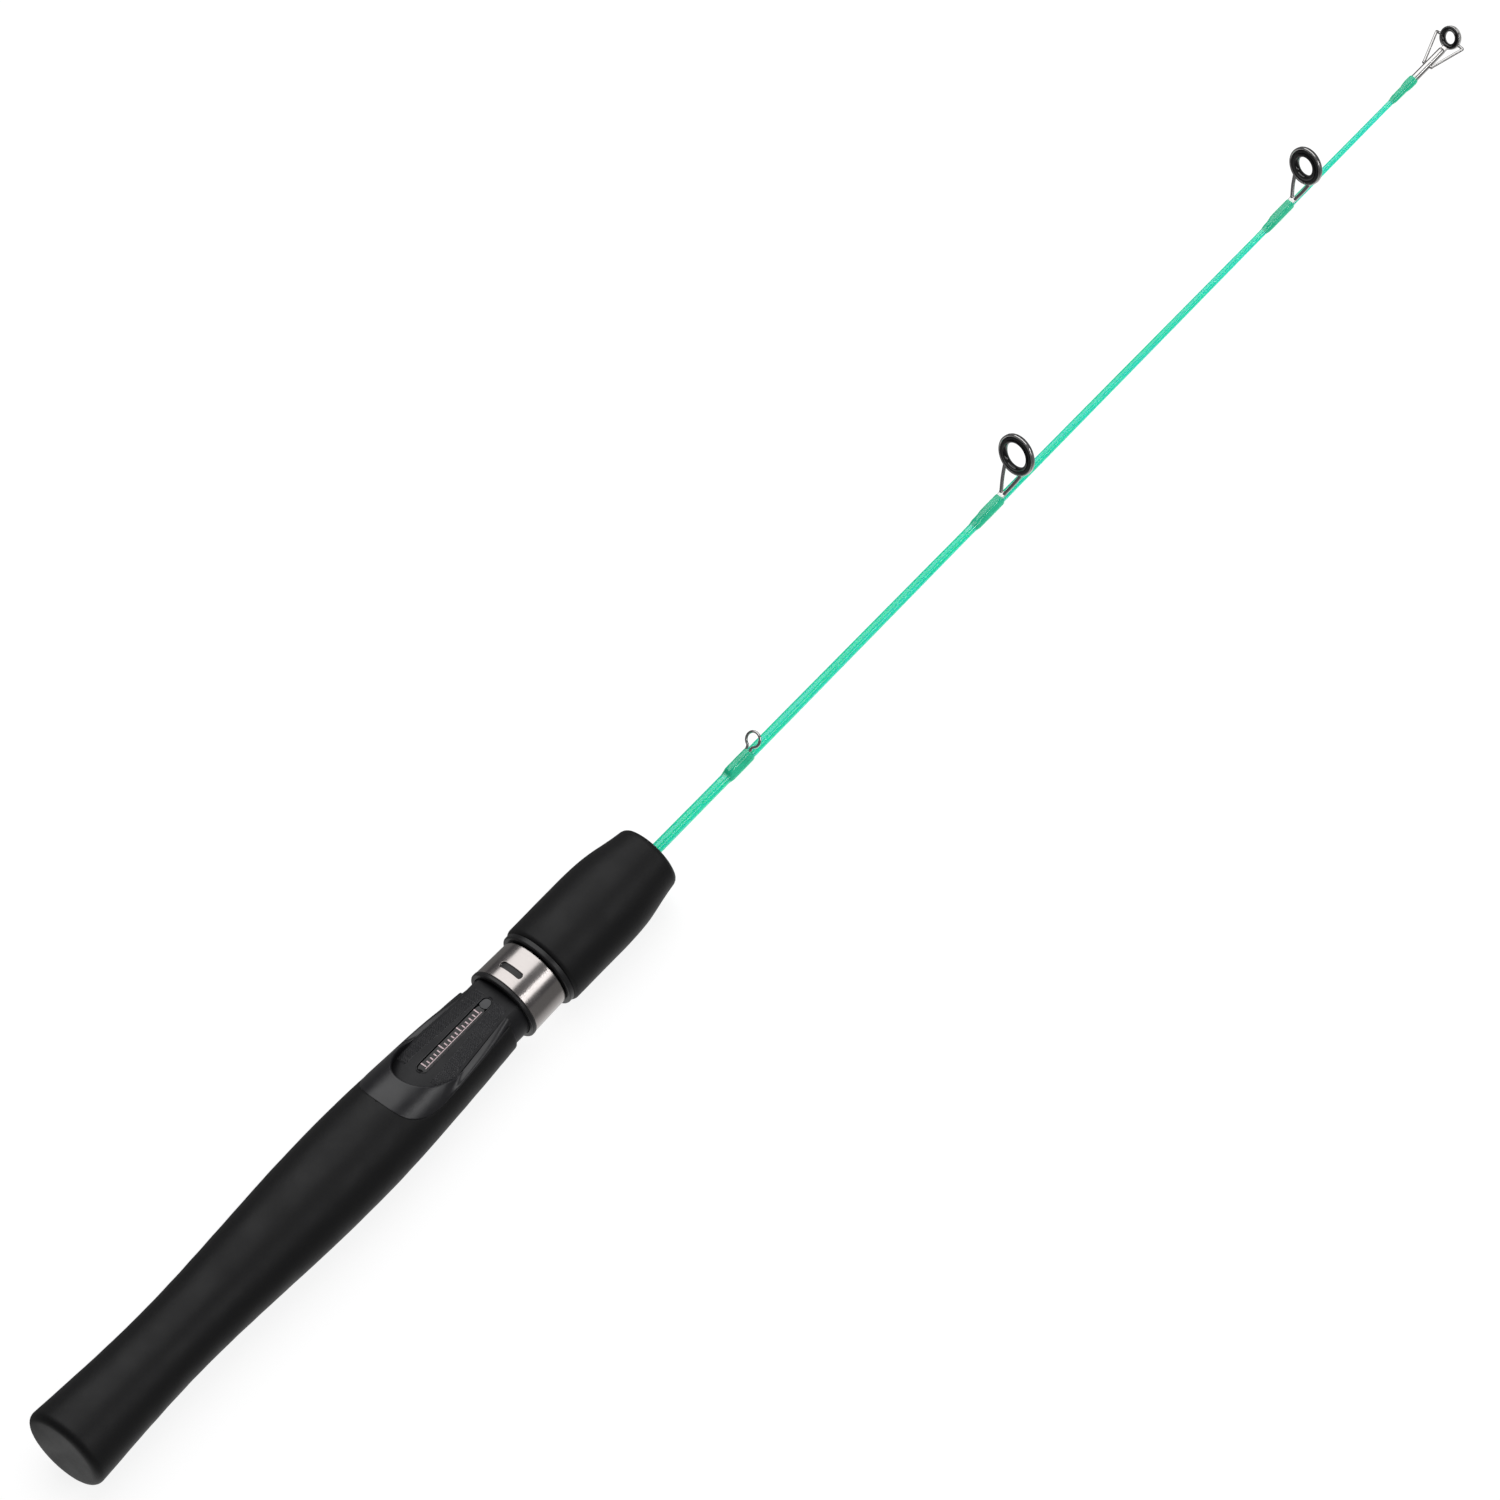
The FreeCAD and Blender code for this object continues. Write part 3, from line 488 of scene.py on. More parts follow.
# ------------------------ foregrip
def foregrip_part():
    """The foregrip: hollow at the rear for the nut, rounded edges, a nose that curves in."""
    slope = spline(FORE_STATIONS)
    outline = [(FORE_START, 11.75)]
    outline += arc((FORE_START + FORE_ROUND, FORE_RADIUS - FORE_ROUND), FORE_ROUND, 180, 90, 8)
    outline += [(x, FORE_RADIUS) for x in np.arange(FORE_START + 3.0, FORE_STRAIGHT_END, 1.0)]
    outline += [(x, min(FORE_RADIUS, slope(x)))
                for x in np.arange(FORE_STRAIGHT_END + 0.5, 249.6, 0.5)]
    outline += [(250.25, 10.38), (250.7, 10.0), (250.93, 9.5), (FORE_END, FORE_FACE_RADIUS)]
    outline += [(FORE_END, r) for r in (7.5, 6.0, 4.5, 3.2, 2.6)]
    outline += [(FORE_END - 0.1, FORE_BORE + 0.08), (FORE_END - 0.4, FORE_BORE),
                (FORE_CAVITY_END + 1.5, FORE_BORE), (FORE_CAVITY_END, FORE_BORE + 0.2),
                (FORE_CAVITY_END, FORE_CAVITY_RADIUS), (234.0, 11.7)]
    points = uneven(lathe(outline, 150), FORE_UNEVEN, UNEVEN_SIZE)
    return grid(points, wrap_rows=True, wrap_cols=True)


foregrip = piece("foregrip_foam", foregrip_part(), "foregrip", FOAM, ["foregrip"], 50)


# ------------------------ blank
def blank_part():
    """The tapered blank, with the slight unevenness of a ground and varnished rod."""
    stations = np.concatenate([[BLANK_START], np.arange(BLANK_START + 1, BLANK_END, 1.5), [BLANK_END]])
    profile = [(x, blank_radius(x) + 0.012 * noise.noise(Vector((x / 9, 0, 0)))) for x in stations]
    return rod_loft(profile, 40)


piece("blank_rod", blank_part(), "rod", BLANK, ["blank"])


# ------------------------ reel seat
BARREL_BED_HALF = 7.42


def seat_barrel_part():
    """The barrel with its crowned bed: a round tube whose reel side is cut down to the bed."""
    stations = np.concatenate([np.arange(BARREL_START, BED_END, 1.0), [BED_END, BED_END + 0.01]])
    stations = np.concatenate([stations, np.arange(BED_END + 1, BARREL_END + 0.1, 1.0)])
    rows = []
    for x in stations:
        half = BARREL_BED_HALF if x <= BED_END else 0.0
        if x < SHELL_END[0] - 0.5:
            half = max(half, arch_half_width(max(x, ARCH_CENTRE)) + 0.25)
        edge = math.asin(half / BARREL_RADIUS)
        ring = [(BARREL_RADIUS * math.sin(t), BARREL_RADIUS * math.cos(t))
                for t in np.linspace(edge, 2 * math.pi - edge, 121)]
        bed = [(y, bed_level(y) if x <= BED_END else BARREL_RADIUS)
               for y in np.linspace(-half, half, 42)[1:-1]]
        rows.append([(x, y, z) for y, z in ring + bed])
    return grid(np.array(rows), wrap_cols=True, cap_rows=True)


ARCH_TURN, LIP_ROUND, LIP_EXTRA, SEAM_ROUND = 0.5, 0.4, 0.9, 0.16
FADE_START, FADE_END, INNER_RADIUS = 155.0, 163.5, 8.6


def shell_ray(turn):
    """The seam point and the lip point of one ray across the shell, as (x, angle), for turn -1 to 1.
    Rays fan out over the rear arch, and cross the strip beside the bed ahead of it."""
    size, side = abs(turn), math.copysign(1, turn)
    share = min(size / ARCH_TURN, 1.0) * math.pi / 2
    beyond = max(size - ARCH_TURN, 0) / (1 - ARCH_TURN)
    seam_x = SEAM_FRONT - (SEAM_FRONT - SEAM_REAR) * math.cos(share) + beyond * (SHELL_END[0] - SEAM_FRONT)
    lip_x = ARCH_CENTRE - ARCH_LENGTH * math.cos(share) + beyond * (SHELL_END[0] - ARCH_CENTRE)
    lip_y = arch_half_width(lip_x) if beyond else ARCH_HALF_WIDTH * math.sin(share)
    lip_angle = math.asin(min(lip_y / shell_radius(lip_x), 1.0))
    return (seam_x, side * seam_angle(seam_x)), (lip_x, side * lip_angle)


def shell_point(x, angle, below=0.0):
    """A point on the shell's outer form, or below it."""
    r = shell_radius(x) + SHELL_PROUD - below
    return (x, r * math.sin(angle), r * math.cos(angle))


def shoulder_point(seam, lip, share):
    """A point on the soft shoulder between the bed and the seam, at a share of the way up from the seam:
    it leaves the seam along the handle's own round and meets the bed flush."""
    side = math.copysign(1, lip[1])
    low = Vector((abs(seam[1]), seam[2]))
    high = Vector((abs(lip[1]), bed_level(lip[1])))
    out = Vector((-low.y, low.x)).normalized()
    slope = Vector((math.sqrt(BED_CROWN ** 2 - high.x ** 2), -high.x)).normalized()
    reach = (high - low).length * 0.38
    a, b, c, d = low, low + out * reach, high + slope * reach, high
    t = share
    flat = a * (1 - t) ** 3 + b * 3 * t * (1 - t) ** 2 + c * 3 * t * t * (1 - t) + d * t ** 3
    return Vector((seam[0] + (lip[0] - seam[0]) * share, side * flat.x, flat.y))


def shell_part():
    """The inlaid shell: a closed band from the seam with the foam to the lip over the bed. The lip of
    the arch runs out into a soft shoulder beside the bed."""
    turns = np.concatenate([np.linspace(-1, -0.5, 110), np.linspace(-0.49, 0.49, 130),
                            np.linspace(0.5, 1, 110)])
    rows = []
    for turn in turns:
        (seam_x, seam_a), (lip_x, lip_a) = shell_ray(turn)
        lip_round = LIP_ROUND + LIP_EXTRA * smooth_step(abs(turn), 0.4, 0.62)
        run = max(math.hypot(lip_x - seam_x, (lip_a - seam_a) * 12), 0.8)
        lip_round = min(lip_round, 0.45 * run)
        sunk = smooth_step(lip_x, FADE_START, FADE_END)
        seam_at, lip_at = shell_point(seam_x, seam_a), shell_point(lip_x, lip_a)
        row = []

        def across(distance, below):
            share = distance / run
            arched = Vector(shell_point(seam_x + (lip_x - seam_x) * share,
                                        seam_a + (lip_a - seam_a) * share, below))
            if not sunk:
                return tuple(arched)
            low = shoulder_point(seam_at, lip_at, share) - Vector((0, 0, min(below, SEAM_ROUND)))
            return tuple(arched.lerp(low, sunk))

        row.append(shell_point(seam_x, seam_a, 2.2))
        for t in np.radians([0, 30, 60, 90]):
            row.append(across(SEAM_ROUND * (1 - math.cos(t)), SEAM_ROUND * (1 - math.sin(t))))
        for share in np.linspace(0, 1, 26)[1:-1]:
            row.append(across(SEAM_ROUND + (run - SEAM_ROUND - lip_round) * share, 0.0))
        for t in np.radians([0, 22, 45, 68, 90]):
            row.append(across(run - lip_round + lip_round * math.sin(t),
                              lip_round * (1 - math.cos(t)) * (1 - sunk)))
        lip = row[-1]
        floor = bed_level(lip[1]) - 0.3
        rear = max(0.0, 1 - (abs(turn) / 0.42) ** 2)
        wall_x = lip[0] - 5.0 * math.sqrt(rear)
        under = lip[2] - 0.35 * (1 - sunk) - 0.05 * sunk
        row.append((lip[0], lip[1] * 0.985, under))
        top_under = min(under, math.sqrt(max(POCKET_RADIUS ** 2 - lip[1] ** 2, 0.0)))
        row.append((wall_x, lip[1] * 0.985, max(top_under - 0.05 * sunk, floor + 0.1)))
        row.append((wall_x, lip[1] * 0.985, floor))
        row.append((seam_x, INNER_RADIUS * math.sin(seam_a), INNER_RADIUS * math.cos(seam_a)))
        rows.append(row)
    return grid(np.array(rows), wrap_cols=True, cap_rows=True)


def stadium(start, end, half_width):
    """The outline of a slot with round ends, as (x, y) points."""
    far = arc((end - half_width, 0), half_width, -90, 90, 14)
    return far + arc((start + half_width, 0), half_width, 90, 270, 14)


def prism(outline, low, high):
    """An upright prism on an (x, y) outline."""
    rows = np.array([[(x, y, level) for x, y in outline] for level in (low, high)])
    return grid(rows, wrap_cols=True, cap_rows=True)


seat = piece("reel_seat_barrel", seat_barrel_part(), "rod", BED, ["reel_seat_body"], 30)
piece("reel_seat_shell", shell_part(), "rod", SEAT, [], 32)


# ------------------------ moving hood's sleeve
def carved(made, cutter_part):
    """A piece with a cutter's form taken out of it."""
    cutter = piece(made.name + "_cutter", cutter_part, "rod", SEAT)
    carve = made.modifiers.new("carve", "BOOLEAN")
    carve.operation, carve.object, carve.solver = "DIFFERENCE", cutter, "EXACT"
    mesh = bpy.data.meshes.new_from_object(made.evaluated_get(bpy.context.evaluated_depsgraph_get()))
    made.modifiers.clear()
    made.data = mesh
    bpy.data.objects.remove(cutter)
    return made


HOOD_START, HOOD_END, HOOD_RADIUS, HOOD_FRONT, HOOD_WALL = 189.1, 201.7, 11.9, 11.6, 0.45
HOOD_INNER = HOOD_RADIUS - HOOD_WALL
WINDOW_AT, WINDOW_HALF_LENGTH, WINDOW_HALF_WIDTH = 193.9, 4.07, 1.0
sleeve = [(HOOD_START + ahead, HOOD_RADIUS - dip)
          for ahead, dip in ((0, HOOD_WALL), (0, 0.2), (0.05, 0.06), (0.16, 0), (0.34, 0.01))]
sleeve += [(x, HOOD_RADIUS - (HOOD_RADIUS - HOOD_FRONT) * (x - HOOD_START) / (HOOD_END - HOOD_START))
           for x in np.arange(HOOD_START + 0.6, HOOD_END - 0.5, 0.6)]
sleeve += [(HOOD_END - 0.12, HOOD_FRONT), (HOOD_END - 0.03, HOOD_FRONT - 0.03),
           (HOOD_END, HOOD_FRONT - 0.09), (HOOD_END, HOOD_INNER)]
hood = piece("hood_metal_sleeve", ring_loft(sleeve, 160), "moving_hood", HOOD_METAL,
             ["hood_sleeve"], 30)
window = [(WINDOW_AT + x, y)
          for y, x in stadium(-WINDOW_HALF_LENGTH, WINDOW_HALF_LENGTH, WINDOW_HALF_WIDTH)]
carved(hood, prism(window, HOOD_INNER - 2, HOOD_RADIUS + 2))

carved(seat, prism(stadium(SLOT_START, SLOT_END, SLOT_HALF_WIDTH), BED_HEIGHT - SLOT_DEPTH, BED_HEIGHT + 2))

# ------------------------ knurling and badge
KNURL_START, KNURL_END = 153.0, 184.5
KNURL_PITCH, KNURL_HEIGHT, KNURL_WIDTH, KNURL_SUNK = 0.7, 0.26, 4.2, 0.4


def knurl_part(side):
    """A strip of fine pyramids that runs along one side of the bed."""
    rows = []
    for x in np.arange(KNURL_START, KNURL_END + 0.01, KNURL_PITCH / 6):
        outer = arch_half_width(max(x, 154.5)) - 0.35 - 0.5 * smooth_step(x, 154, 160)
        inner = outer - KNURL_WIDTH
        row = []
        for y in np.linspace(inner, outer, 31):
            a, b = (x + y) / KNURL_PITCH, (x - y) / KNURL_PITCH
            slope = max(abs(a % 1 - 0.5), abs(b % 1 - 0.5)) * 2
            edge = min(smooth_step(y, inner, inner + 0.3), 1 - smooth_step(y, outer - 0.3, outer),
                       smooth_step(x, KNURL_START, KNURL_START + 0.4),
                       1 - smooth_step(x, KNURL_END - 0.4, KNURL_END))
            row.append((x, side * y, bed_level(y) - 0.03 + KNURL_HEIGHT * (1 - slope) * edge))
        row = [(x, side * inner, bed_level(inner) - KNURL_SUNK)] + row
        row.append((x, side * outer, bed_level(outer) - KNURL_SUNK))
        rows.append(row)
    return grid(np.array(rows), wrap_cols=True, cap_rows=True)


piece("seat_knurling", join_parts([knurl_part(1), knurl_part(-1)]), "rod", KNURL, [], 20)
PLATE_EDGE = 0.12


def crowned_plate(outline, low, high, crown):
    """A thin plate on an (x, y) outline with a rounded edge and a slightly raised middle."""
    centre = np.mean(np.array(outline), axis=0)
    rows = [(1.0, low), (1.0, high - PLATE_EDGE), (0.985, high - 0.04), (0.955, high)]
    rows += [(share, high + crown * (1 - share ** 2)) for share in (0.8, 0.6, 0.4, 0.2, 0.02)]
    points = [[(centre[0] + (x - centre[0]) * (1 - (1 - share) * 0.16 if share > 0.9 else share),
                centre[1] + (y - centre[1]) * share, level) for x, y in outline] for share, level in rows]
    return grid(np.array(points), wrap_cols=True, cap_rows=True)


BADGE_LOW = BED_HEIGHT - SLOT_DEPTH
BADGE_TOP = BADGE_LOW + BADGE_THICKNESS
badge = crowned_plate(stadium(BADGE_START, BADGE_END, BADGE_HALF_WIDTH), BADGE_LOW, BADGE_TOP, 0.08)
piece("badge_plate_gloss", badge, "rod", BADGE, ["badge_plate"], 40)


STROKE_PITCH, STROKE_WIDTH, STROKE_FOOT, LONG_STROKE, SHORT_STROKE = 1.5, 0.4, -0.6, 2.0, 1.2
LINE_LOW, LINE_HIGH = -1.05, -0.82


def oblong(x_low, y_low, x_high, y_high):
    """A rectangle as (x, y) points."""
    return [(x_low, y_low), (x_high, y_low), (x_high, y_high), (x_low, y_high)]


def badge_marks_part():
    """A plain rule of evenly spaced strokes with a hairline along one side of the badge."""
    strokes = []
    for number, x in enumerate(np.arange(BADGE_START + 2.2, BADGE_END - 1.6, STROKE_PITCH)):
        reach = LONG_STROKE if number % 5 == 0 else SHORT_STROKE
        stroke = oblong(x, STROKE_FOOT, x + STROKE_WIDTH, reach + STROKE_FOOT)
        strokes.append(prism(stroke, BADGE_TOP - 0.1, BADGE_TOP + 0.12))
    line = oblong(BADGE_START + 1.8, LINE_LOW, BADGE_END - 1.4, LINE_HIGH)
    strokes.append(prism(line, BADGE_TOP - 0.1, BADGE_TOP + 0.1))
    return join_parts(strokes)


piece("badge_marks", badge_marks_part(), "rod", BADGE_MARK)
rim = [(x, y, bed_level(y) - 0.02) for x, y in stadium(SLOT_START, SLOT_END, SLOT_HALF_WIDTH + 0.05)]
rim = sweep(rim, round_section(0.15, 10), closed=True)
piece("badge_slot_rim", rim, "rod", SEAT, [], 60)
END_HALF = 1.55
slot_end = arc((SLOT_END - 0.2 - END_HALF, 0), END_HALF, -90, 90, 14)
slot_end += [(BADGE_END + 0.15, END_HALF), (BADGE_END - 0.35, END_HALF * 0.5), (BADGE_END - 0.5, 0),
             (BADGE_END - 0.35, -END_HALF * 0.5), (BADGE_END + 0.15, -END_HALF)]
slot_end = crowned_plate(slot_end, BADGE_LOW, BADGE_TOP + 0.16, 0.12)
piece("badge_slot_end", slot_end, "rod", SLOT_END_LOOK, [], 40)


# ------------------------ leaning rings and guides
def leaning(at, height, lean):
    """The placement of a ring whose axis leans from +X towards -Z."""
    return Matrix.Translation((at, 0, height)) @ Matrix.Rotation(math.radians(lean), 4, "Y")


def ring_point(place, radius, angle):
    """A point on a leaning ring, at an angle in degrees from its lowest point."""
    turn = math.radians(angle)
    return place @ Vector((0, radius * math.sin(turn), -radius * math.cos(turn)))


def rounded_box_profile(inner, outer, half, corner):
    """A closed (x, r) loop: a rectangle with rounded corners."""
    side, top, low = half - corner, outer - corner, inner + corner
    return (arc((side, top), corner, 90, 0, 5) + arc((side, low), corner, 0, -90, 5)
            + arc((-side, low), corner, 270, 180, 5) + arc((-side, top), corner, 180, 90, 5))


def insert_profile(inner, outer, half):
    """The harder ring: a bore rounded like a bead, and faces that slope to the shock ring."""
    bead = [(half * math.cos(t), inner + 0.62 * (1 - math.sin(t)))
            for t in np.linspace(0, math.pi, 17)]
    return [(half * 0.86, outer)] + bead + [(-half * 0.86, outer)]


def ring_pair(name, place, hole, band, band_wall, shock_wall):
    """The black shock ring and the polished ring inside it."""
    shock_outer = band - band_wall
    shock_inner = shock_outer - shock_wall
    shock = ring_loft(rounded_box_profile(shock_inner, shock_outer, SHOCK_HALF, 0.2), 96)
    piece(name + "_shock", moved(shock, place), "rod", SHOCK,
          [name + "_shock_ring"], 40)
    insert = ring_loft(insert_profile(hole, shock_inner, INSERT_HALF), 96)
    piece(name + "_insert", moved(insert, place), "rod", CERAMIC,
          [name + "_ceramic_ring"], 40)


def flat_bar(stations):
    """A bar along X from (x, half width, low, high) stations, with rounded corners."""
    rows = []
    for x, half, low, high in stations:
        middle, thick = (low + high) / 2, (high - low) / 2
        rows.append([(x, half * math.copysign(abs(math.cos(t)) ** 0.5, math.cos(t)),
                      middle + thick * math.copysign(abs(math.sin(t)) ** 0.5, math.sin(t)))
                     for t in np.linspace(0, 2 * math.pi, 24, endpoint=False)])
    return grid(np.array(rows), wrap_cols=True, cap_rows=True)


def band_part(place, outer, wall):
    """The frame's round band: a ring with a rounded rectangular section."""
    return moved(ring_loft(rounded_box_profile(outer - wall, outer, BAND_HALF, wall * 0.42), 96), place)


# Each guide: foot end, ring station, ring height, lean, band radius, hole radius.
GUIDES = {
    "guide1": (403.6, 411.0, 11.9, 27.0, 6.5, 3.86),
    "guide2": (529.2, 535.5, 9.7, 30.0, 5.8, 2.8),
}
FOOT_LENGTH, FOOT_THICKNESS, FOOT_HALF, NECK_HALF = 12.0, 0.5, 0.85, 1.15
LEG_MEET, LEG_RADIUS, LEG_SPREAD, BAND_WALL, SHOCK_WALL = 32.0, 0.56, 0.68, 0.75, 0.95
SHOCK_HALF, INSERT_HALF, BAND_HALF = 0.72, 1.05, 0.65


def weld_bead(spot, size):
    """A small rounded bead that hides where two bars meet."""
    bead = [(size * math.cos(t), size * math.sin(t)) for t in np.linspace(math.pi, 0, 12)[1:-1]]
    return moved(rod_loft(bead, 20), Matrix.Translation(spot))


def guide_frame_part(foot_end, place, band):
    """Foot ground to a thin toe, neck, two legs and band, with a weld bead at each leg's ends."""
    toe = foot_end - FOOT_LENGTH
    low = blank_radius(toe)
    high = low + FOOT_THICKNESS
    foot = flat_bar([(toe, 0.5, low, low + 0.12), (toe + 1.2, 0.72, low, low + 0.26),
                     (toe + 3.5, FOOT_HALF, low, high), (foot_end - 2.2, FOOT_HALF, low, high),
                     (foot_end - 1.5, NECK_HALF, low, high), (foot_end - 0.3, NECK_HALF, low, high),
                     (foot_end, 1.0, low + 0.04, high - 0.04)])
    parts = [foot, band_part(place, band, BAND_WALL)]
    for side in (-1, 1):
        bottom = Vector((foot_end - 0.55, side * LEG_SPREAD, low + 0.35))
        top = ring_point(place, band - 0.4, side * LEG_MEET)
        bow = (bottom + top) / 2 + Vector((-0.12, side * 0.16, 0.0))
        path = smooth_path([bottom, bottom.lerp(bow, 0.5), bow, bow.lerp(top, 0.5), top], 40)
        parts.append(sweep(path, round_section(LEG_RADIUS, 18)))
        parts += [weld_bead(bottom, LEG_RADIUS + 0.06), weld_bead(top, LEG_RADIUS + 0.1)]
    return join_parts(parts)


for name, (foot_end, at, height, lean, band, hole) in GUIDES.items():
    place = leaning(at, height, lean)
    piece(name + "_steel_frame", guide_frame_part(foot_end, place, band), "rod", STEEL,
          [name + "_frame"])
    ring_pair(name, place, hole, band, BAND_WALL, SHOCK_WALL)


# ------------------------ tip-top
TIP_PLACE = leaning(596.6, 1.75, 46.0)
TIP_BAND, TIP_BAND_WALL, TIP_SHOCK_WALL, TIP_HOLE = 3.5, 0.5, 0.4, 1.78
TUBE_END, TUBE_RADIUS = 592.2, 1.12
BRACE_ROOT, BRACE_ROOT_SPREAD, BRACE_RADIUS = 586.4, 1.46, 0.45
BRACE_KNEE, BRACE_SPREAD, BRACE_KNEE_HEIGHT, BRACE_MEET = 596.2, 5.1, 0.9, 80


def tip_frame_part():
    """The band, the short neck below it and the cap that closes the tube's end."""
    bottom = ring_point(TIP_PLACE, 3.25, 0)
    neck = flat_bar([(TUBE_END, 0.95, -0.75, 0.35), (TUBE_END + 0.7, 0.9, -0.75, 0.33),
                     (bottom.x + 0.35, 0.85, -0.72, 0.25)])
    cap = [(0.0, 0.9), (0.0, 1.05), (0.1, TUBE_RADIUS), (0.4, 1.1), (0.65, 0.95), (0.75, 0.6)]
    cap = rod_loft([(TUBE_END + ahead, radius) for ahead, radius in cap], 40)
    return join_parts([band_part(TIP_PLACE, TIP_BAND, TIP_BAND_WALL), neck, cap])


piece("tip_steel_frame", tip_frame_part(), "rod", STEEL, ["tip_frame"])
ring_pair("tip", TIP_PLACE, TIP_HOLE, TIP_BAND, TIP_BAND_WALL, TIP_SHOCK_WALL)


def tip_brace_part():
    """Two bent wires from the sides of the tube out past the band and back to it, with weld beads."""
    parts = []
    for side in (-1, 1):
        root = Vector((BRACE_ROOT, side * BRACE_ROOT_SPREAD, 0))
        knee = Vector((BRACE_KNEE, side * BRACE_SPREAD, BRACE_KNEE_HEIGHT))
        meet = ring_point(TIP_PLACE, TIP_BAND + 0.3, side * BRACE_MEET)
        path = smooth_path([root, root.lerp(knee, 0.3), root.lerp(knee, 0.75), knee.lerp(root, 0.07), knee,
                            knee.lerp(meet, 0.25), knee.lerp(meet, 0.6), meet], 100)
        parts.append(sweep(path, round_section(BRACE_RADIUS, 18)))
        parts += [weld_bead(root, BRACE_RADIUS + 0.1), weld_bead(meet, BRACE_RADIUS + 0.05)]
    return join_parts(parts)


piece("tip_brace_wires", tip_brace_part(), "rod", STEEL, ["tip_braces"])


# ------------------------ hook keeper
KEEPER_START, KEEPER_END, KEEPER_WIRE, KEEPER_SPREAD = 283.5, 293.6, 0.42, 0.6
KEEPER_PLACE, KEEPER_RING = leaning(296.2, 4.7, 49.0), 2.33


def keeper_part():
    """One wire: along the blank, up, round the leaning loop and back beside itself."""
    rest = blank_radius(KEEPER_START) + KEEPER_WIRE
    loop = [ring_point(KEEPER_PLACE, KEEPER_RING, angle) for angle in range(18, 343, 12)]
    into = [Vector((x, KEEPER_SPREAD, rest + rise))
            for x, rise in ((285.3, 0), (288.0, 0), (291.6, 0), (293.2, 0.05))]
    back_out = [Vector((p.x, -p.y, p.z)) for p in into[::-1]]
    path = smooth_path(into + loop + back_out, 260)
    return sweep(path, round_section(KEEPER_WIRE, 16))


piece("keeper_loop", keeper_part(), "rod", STEEL, ["keeper_wire"], 50)

# ------------------------ thread wraps and clear coats
HULL_TURNS = np.linspace(0, 2 * math.pi, 180, endpoint=False)
THREAD_PITCH, THREAD_GROW, THREAD_RIDGE, THREAD_SUNK = 0.26, 0.34, 0.02, 0.03
COAT_GROW, COAT_THIN, COAT_TAIL, COAT_LIP, COAT_FRONT = 0.6, 0.05, 3.0, 0.85, 0.9
TIP_WRAP_START, TIP_WRAP_END = 570.5, 580.4


def hull_radius(turns, blank, corners):
    """Distance from the rod's axis to the tight hull round the blank and what lies on it.
    corners holds (y, z, radius) of round bars or edges. Turn 0 is +Z."""
    support = np.full(HULL_TURNS.shape, blank)
    for y, z, radius in corners:
        support = np.maximum(support, y * np.sin(HULL_TURNS) + z * np.cos(HULL_TURNS) + radius)
    facing = np.cos(turns[:, None] - HULL_TURNS[None, :])
    reach = np.where(facing > 0.05, support[None, :] / np.where(facing > 0.05, facing, 1), 1e9)
    return reach.min(axis=1)


def foot_corners(toe):
    """The flat foot on the blank as edges that rise from its toe."""
    def at(x):
        low = blank_radius(toe)
        rise = FOOT_THICKNESS * smooth_step(x, toe - 1.6, toe + 4.0)
        half = FOOT_HALF * smooth_step(x, toe - 1.8, toe + 3.0)
        return [(-half, low + rise - 0.05, 0.05), (half, low + rise - 0.05, 0.05)] if half > 0.01 else []
    return at


def keeper_corners(x):
    """The keeper's two wire legs on the blank."""
    share = smooth_step(x, 282.6, 285.0)
    rest = blank_radius(KEEPER_START)
    return [(side * KEEPER_SPREAD * share, (rest + KEEPER_WIRE) * share, KEEPER_WIRE * share)
            for side in (-1, 1)]


def tube_corners(x):
    """The tip-top's tube as a round bar on the axis."""
    return [(0.0, 0.0, TUBE_RADIUS * smooth_step(x, 571.5, 578.4))]


def skin_ring(x, radius, turns):
    """One ring of points about the axis at a station."""
    return np.column_stack([np.full(len(turns), x), radius * np.sin(turns), radius * np.cos(turns)])


def wrap_part(start, end, corners):
    """Thread wound side by side: a tight skin with a ridge for every turn of a helix."""
    turns = np.linspace(0, 2 * math.pi, 72, endpoint=False)
    rows = [skin_ring(start, blank_radius(start) * 0.9, turns)]
    for x in np.arange(start, end + 1e-6, THREAD_PITCH / 6):
        grow = THREAD_GROW * smooth_step(x, start - 0.4, start + 1.6) * (
            1 - 0.25 * smooth_step(x, end - 0.6, end))
        phase = (x - start) / THREAD_PITCH + turns / (2 * math.pi)
        ridge = THREAD_RIDGE * np.sqrt(np.maximum(1 - (2 * (phase % 1) - 1) ** 2, 0)) - THREAD_SUNK
        radius = hull_radius(turns, blank_radius(x), corners(x)) + grow + ridge
        rows.append(skin_ring(x, radius, turns))
    rows.append(skin_ring(end, blank_radius(end) * 0.9, turns))
    return grid(np.array(rows), wrap_cols=True, cap_rows=True)


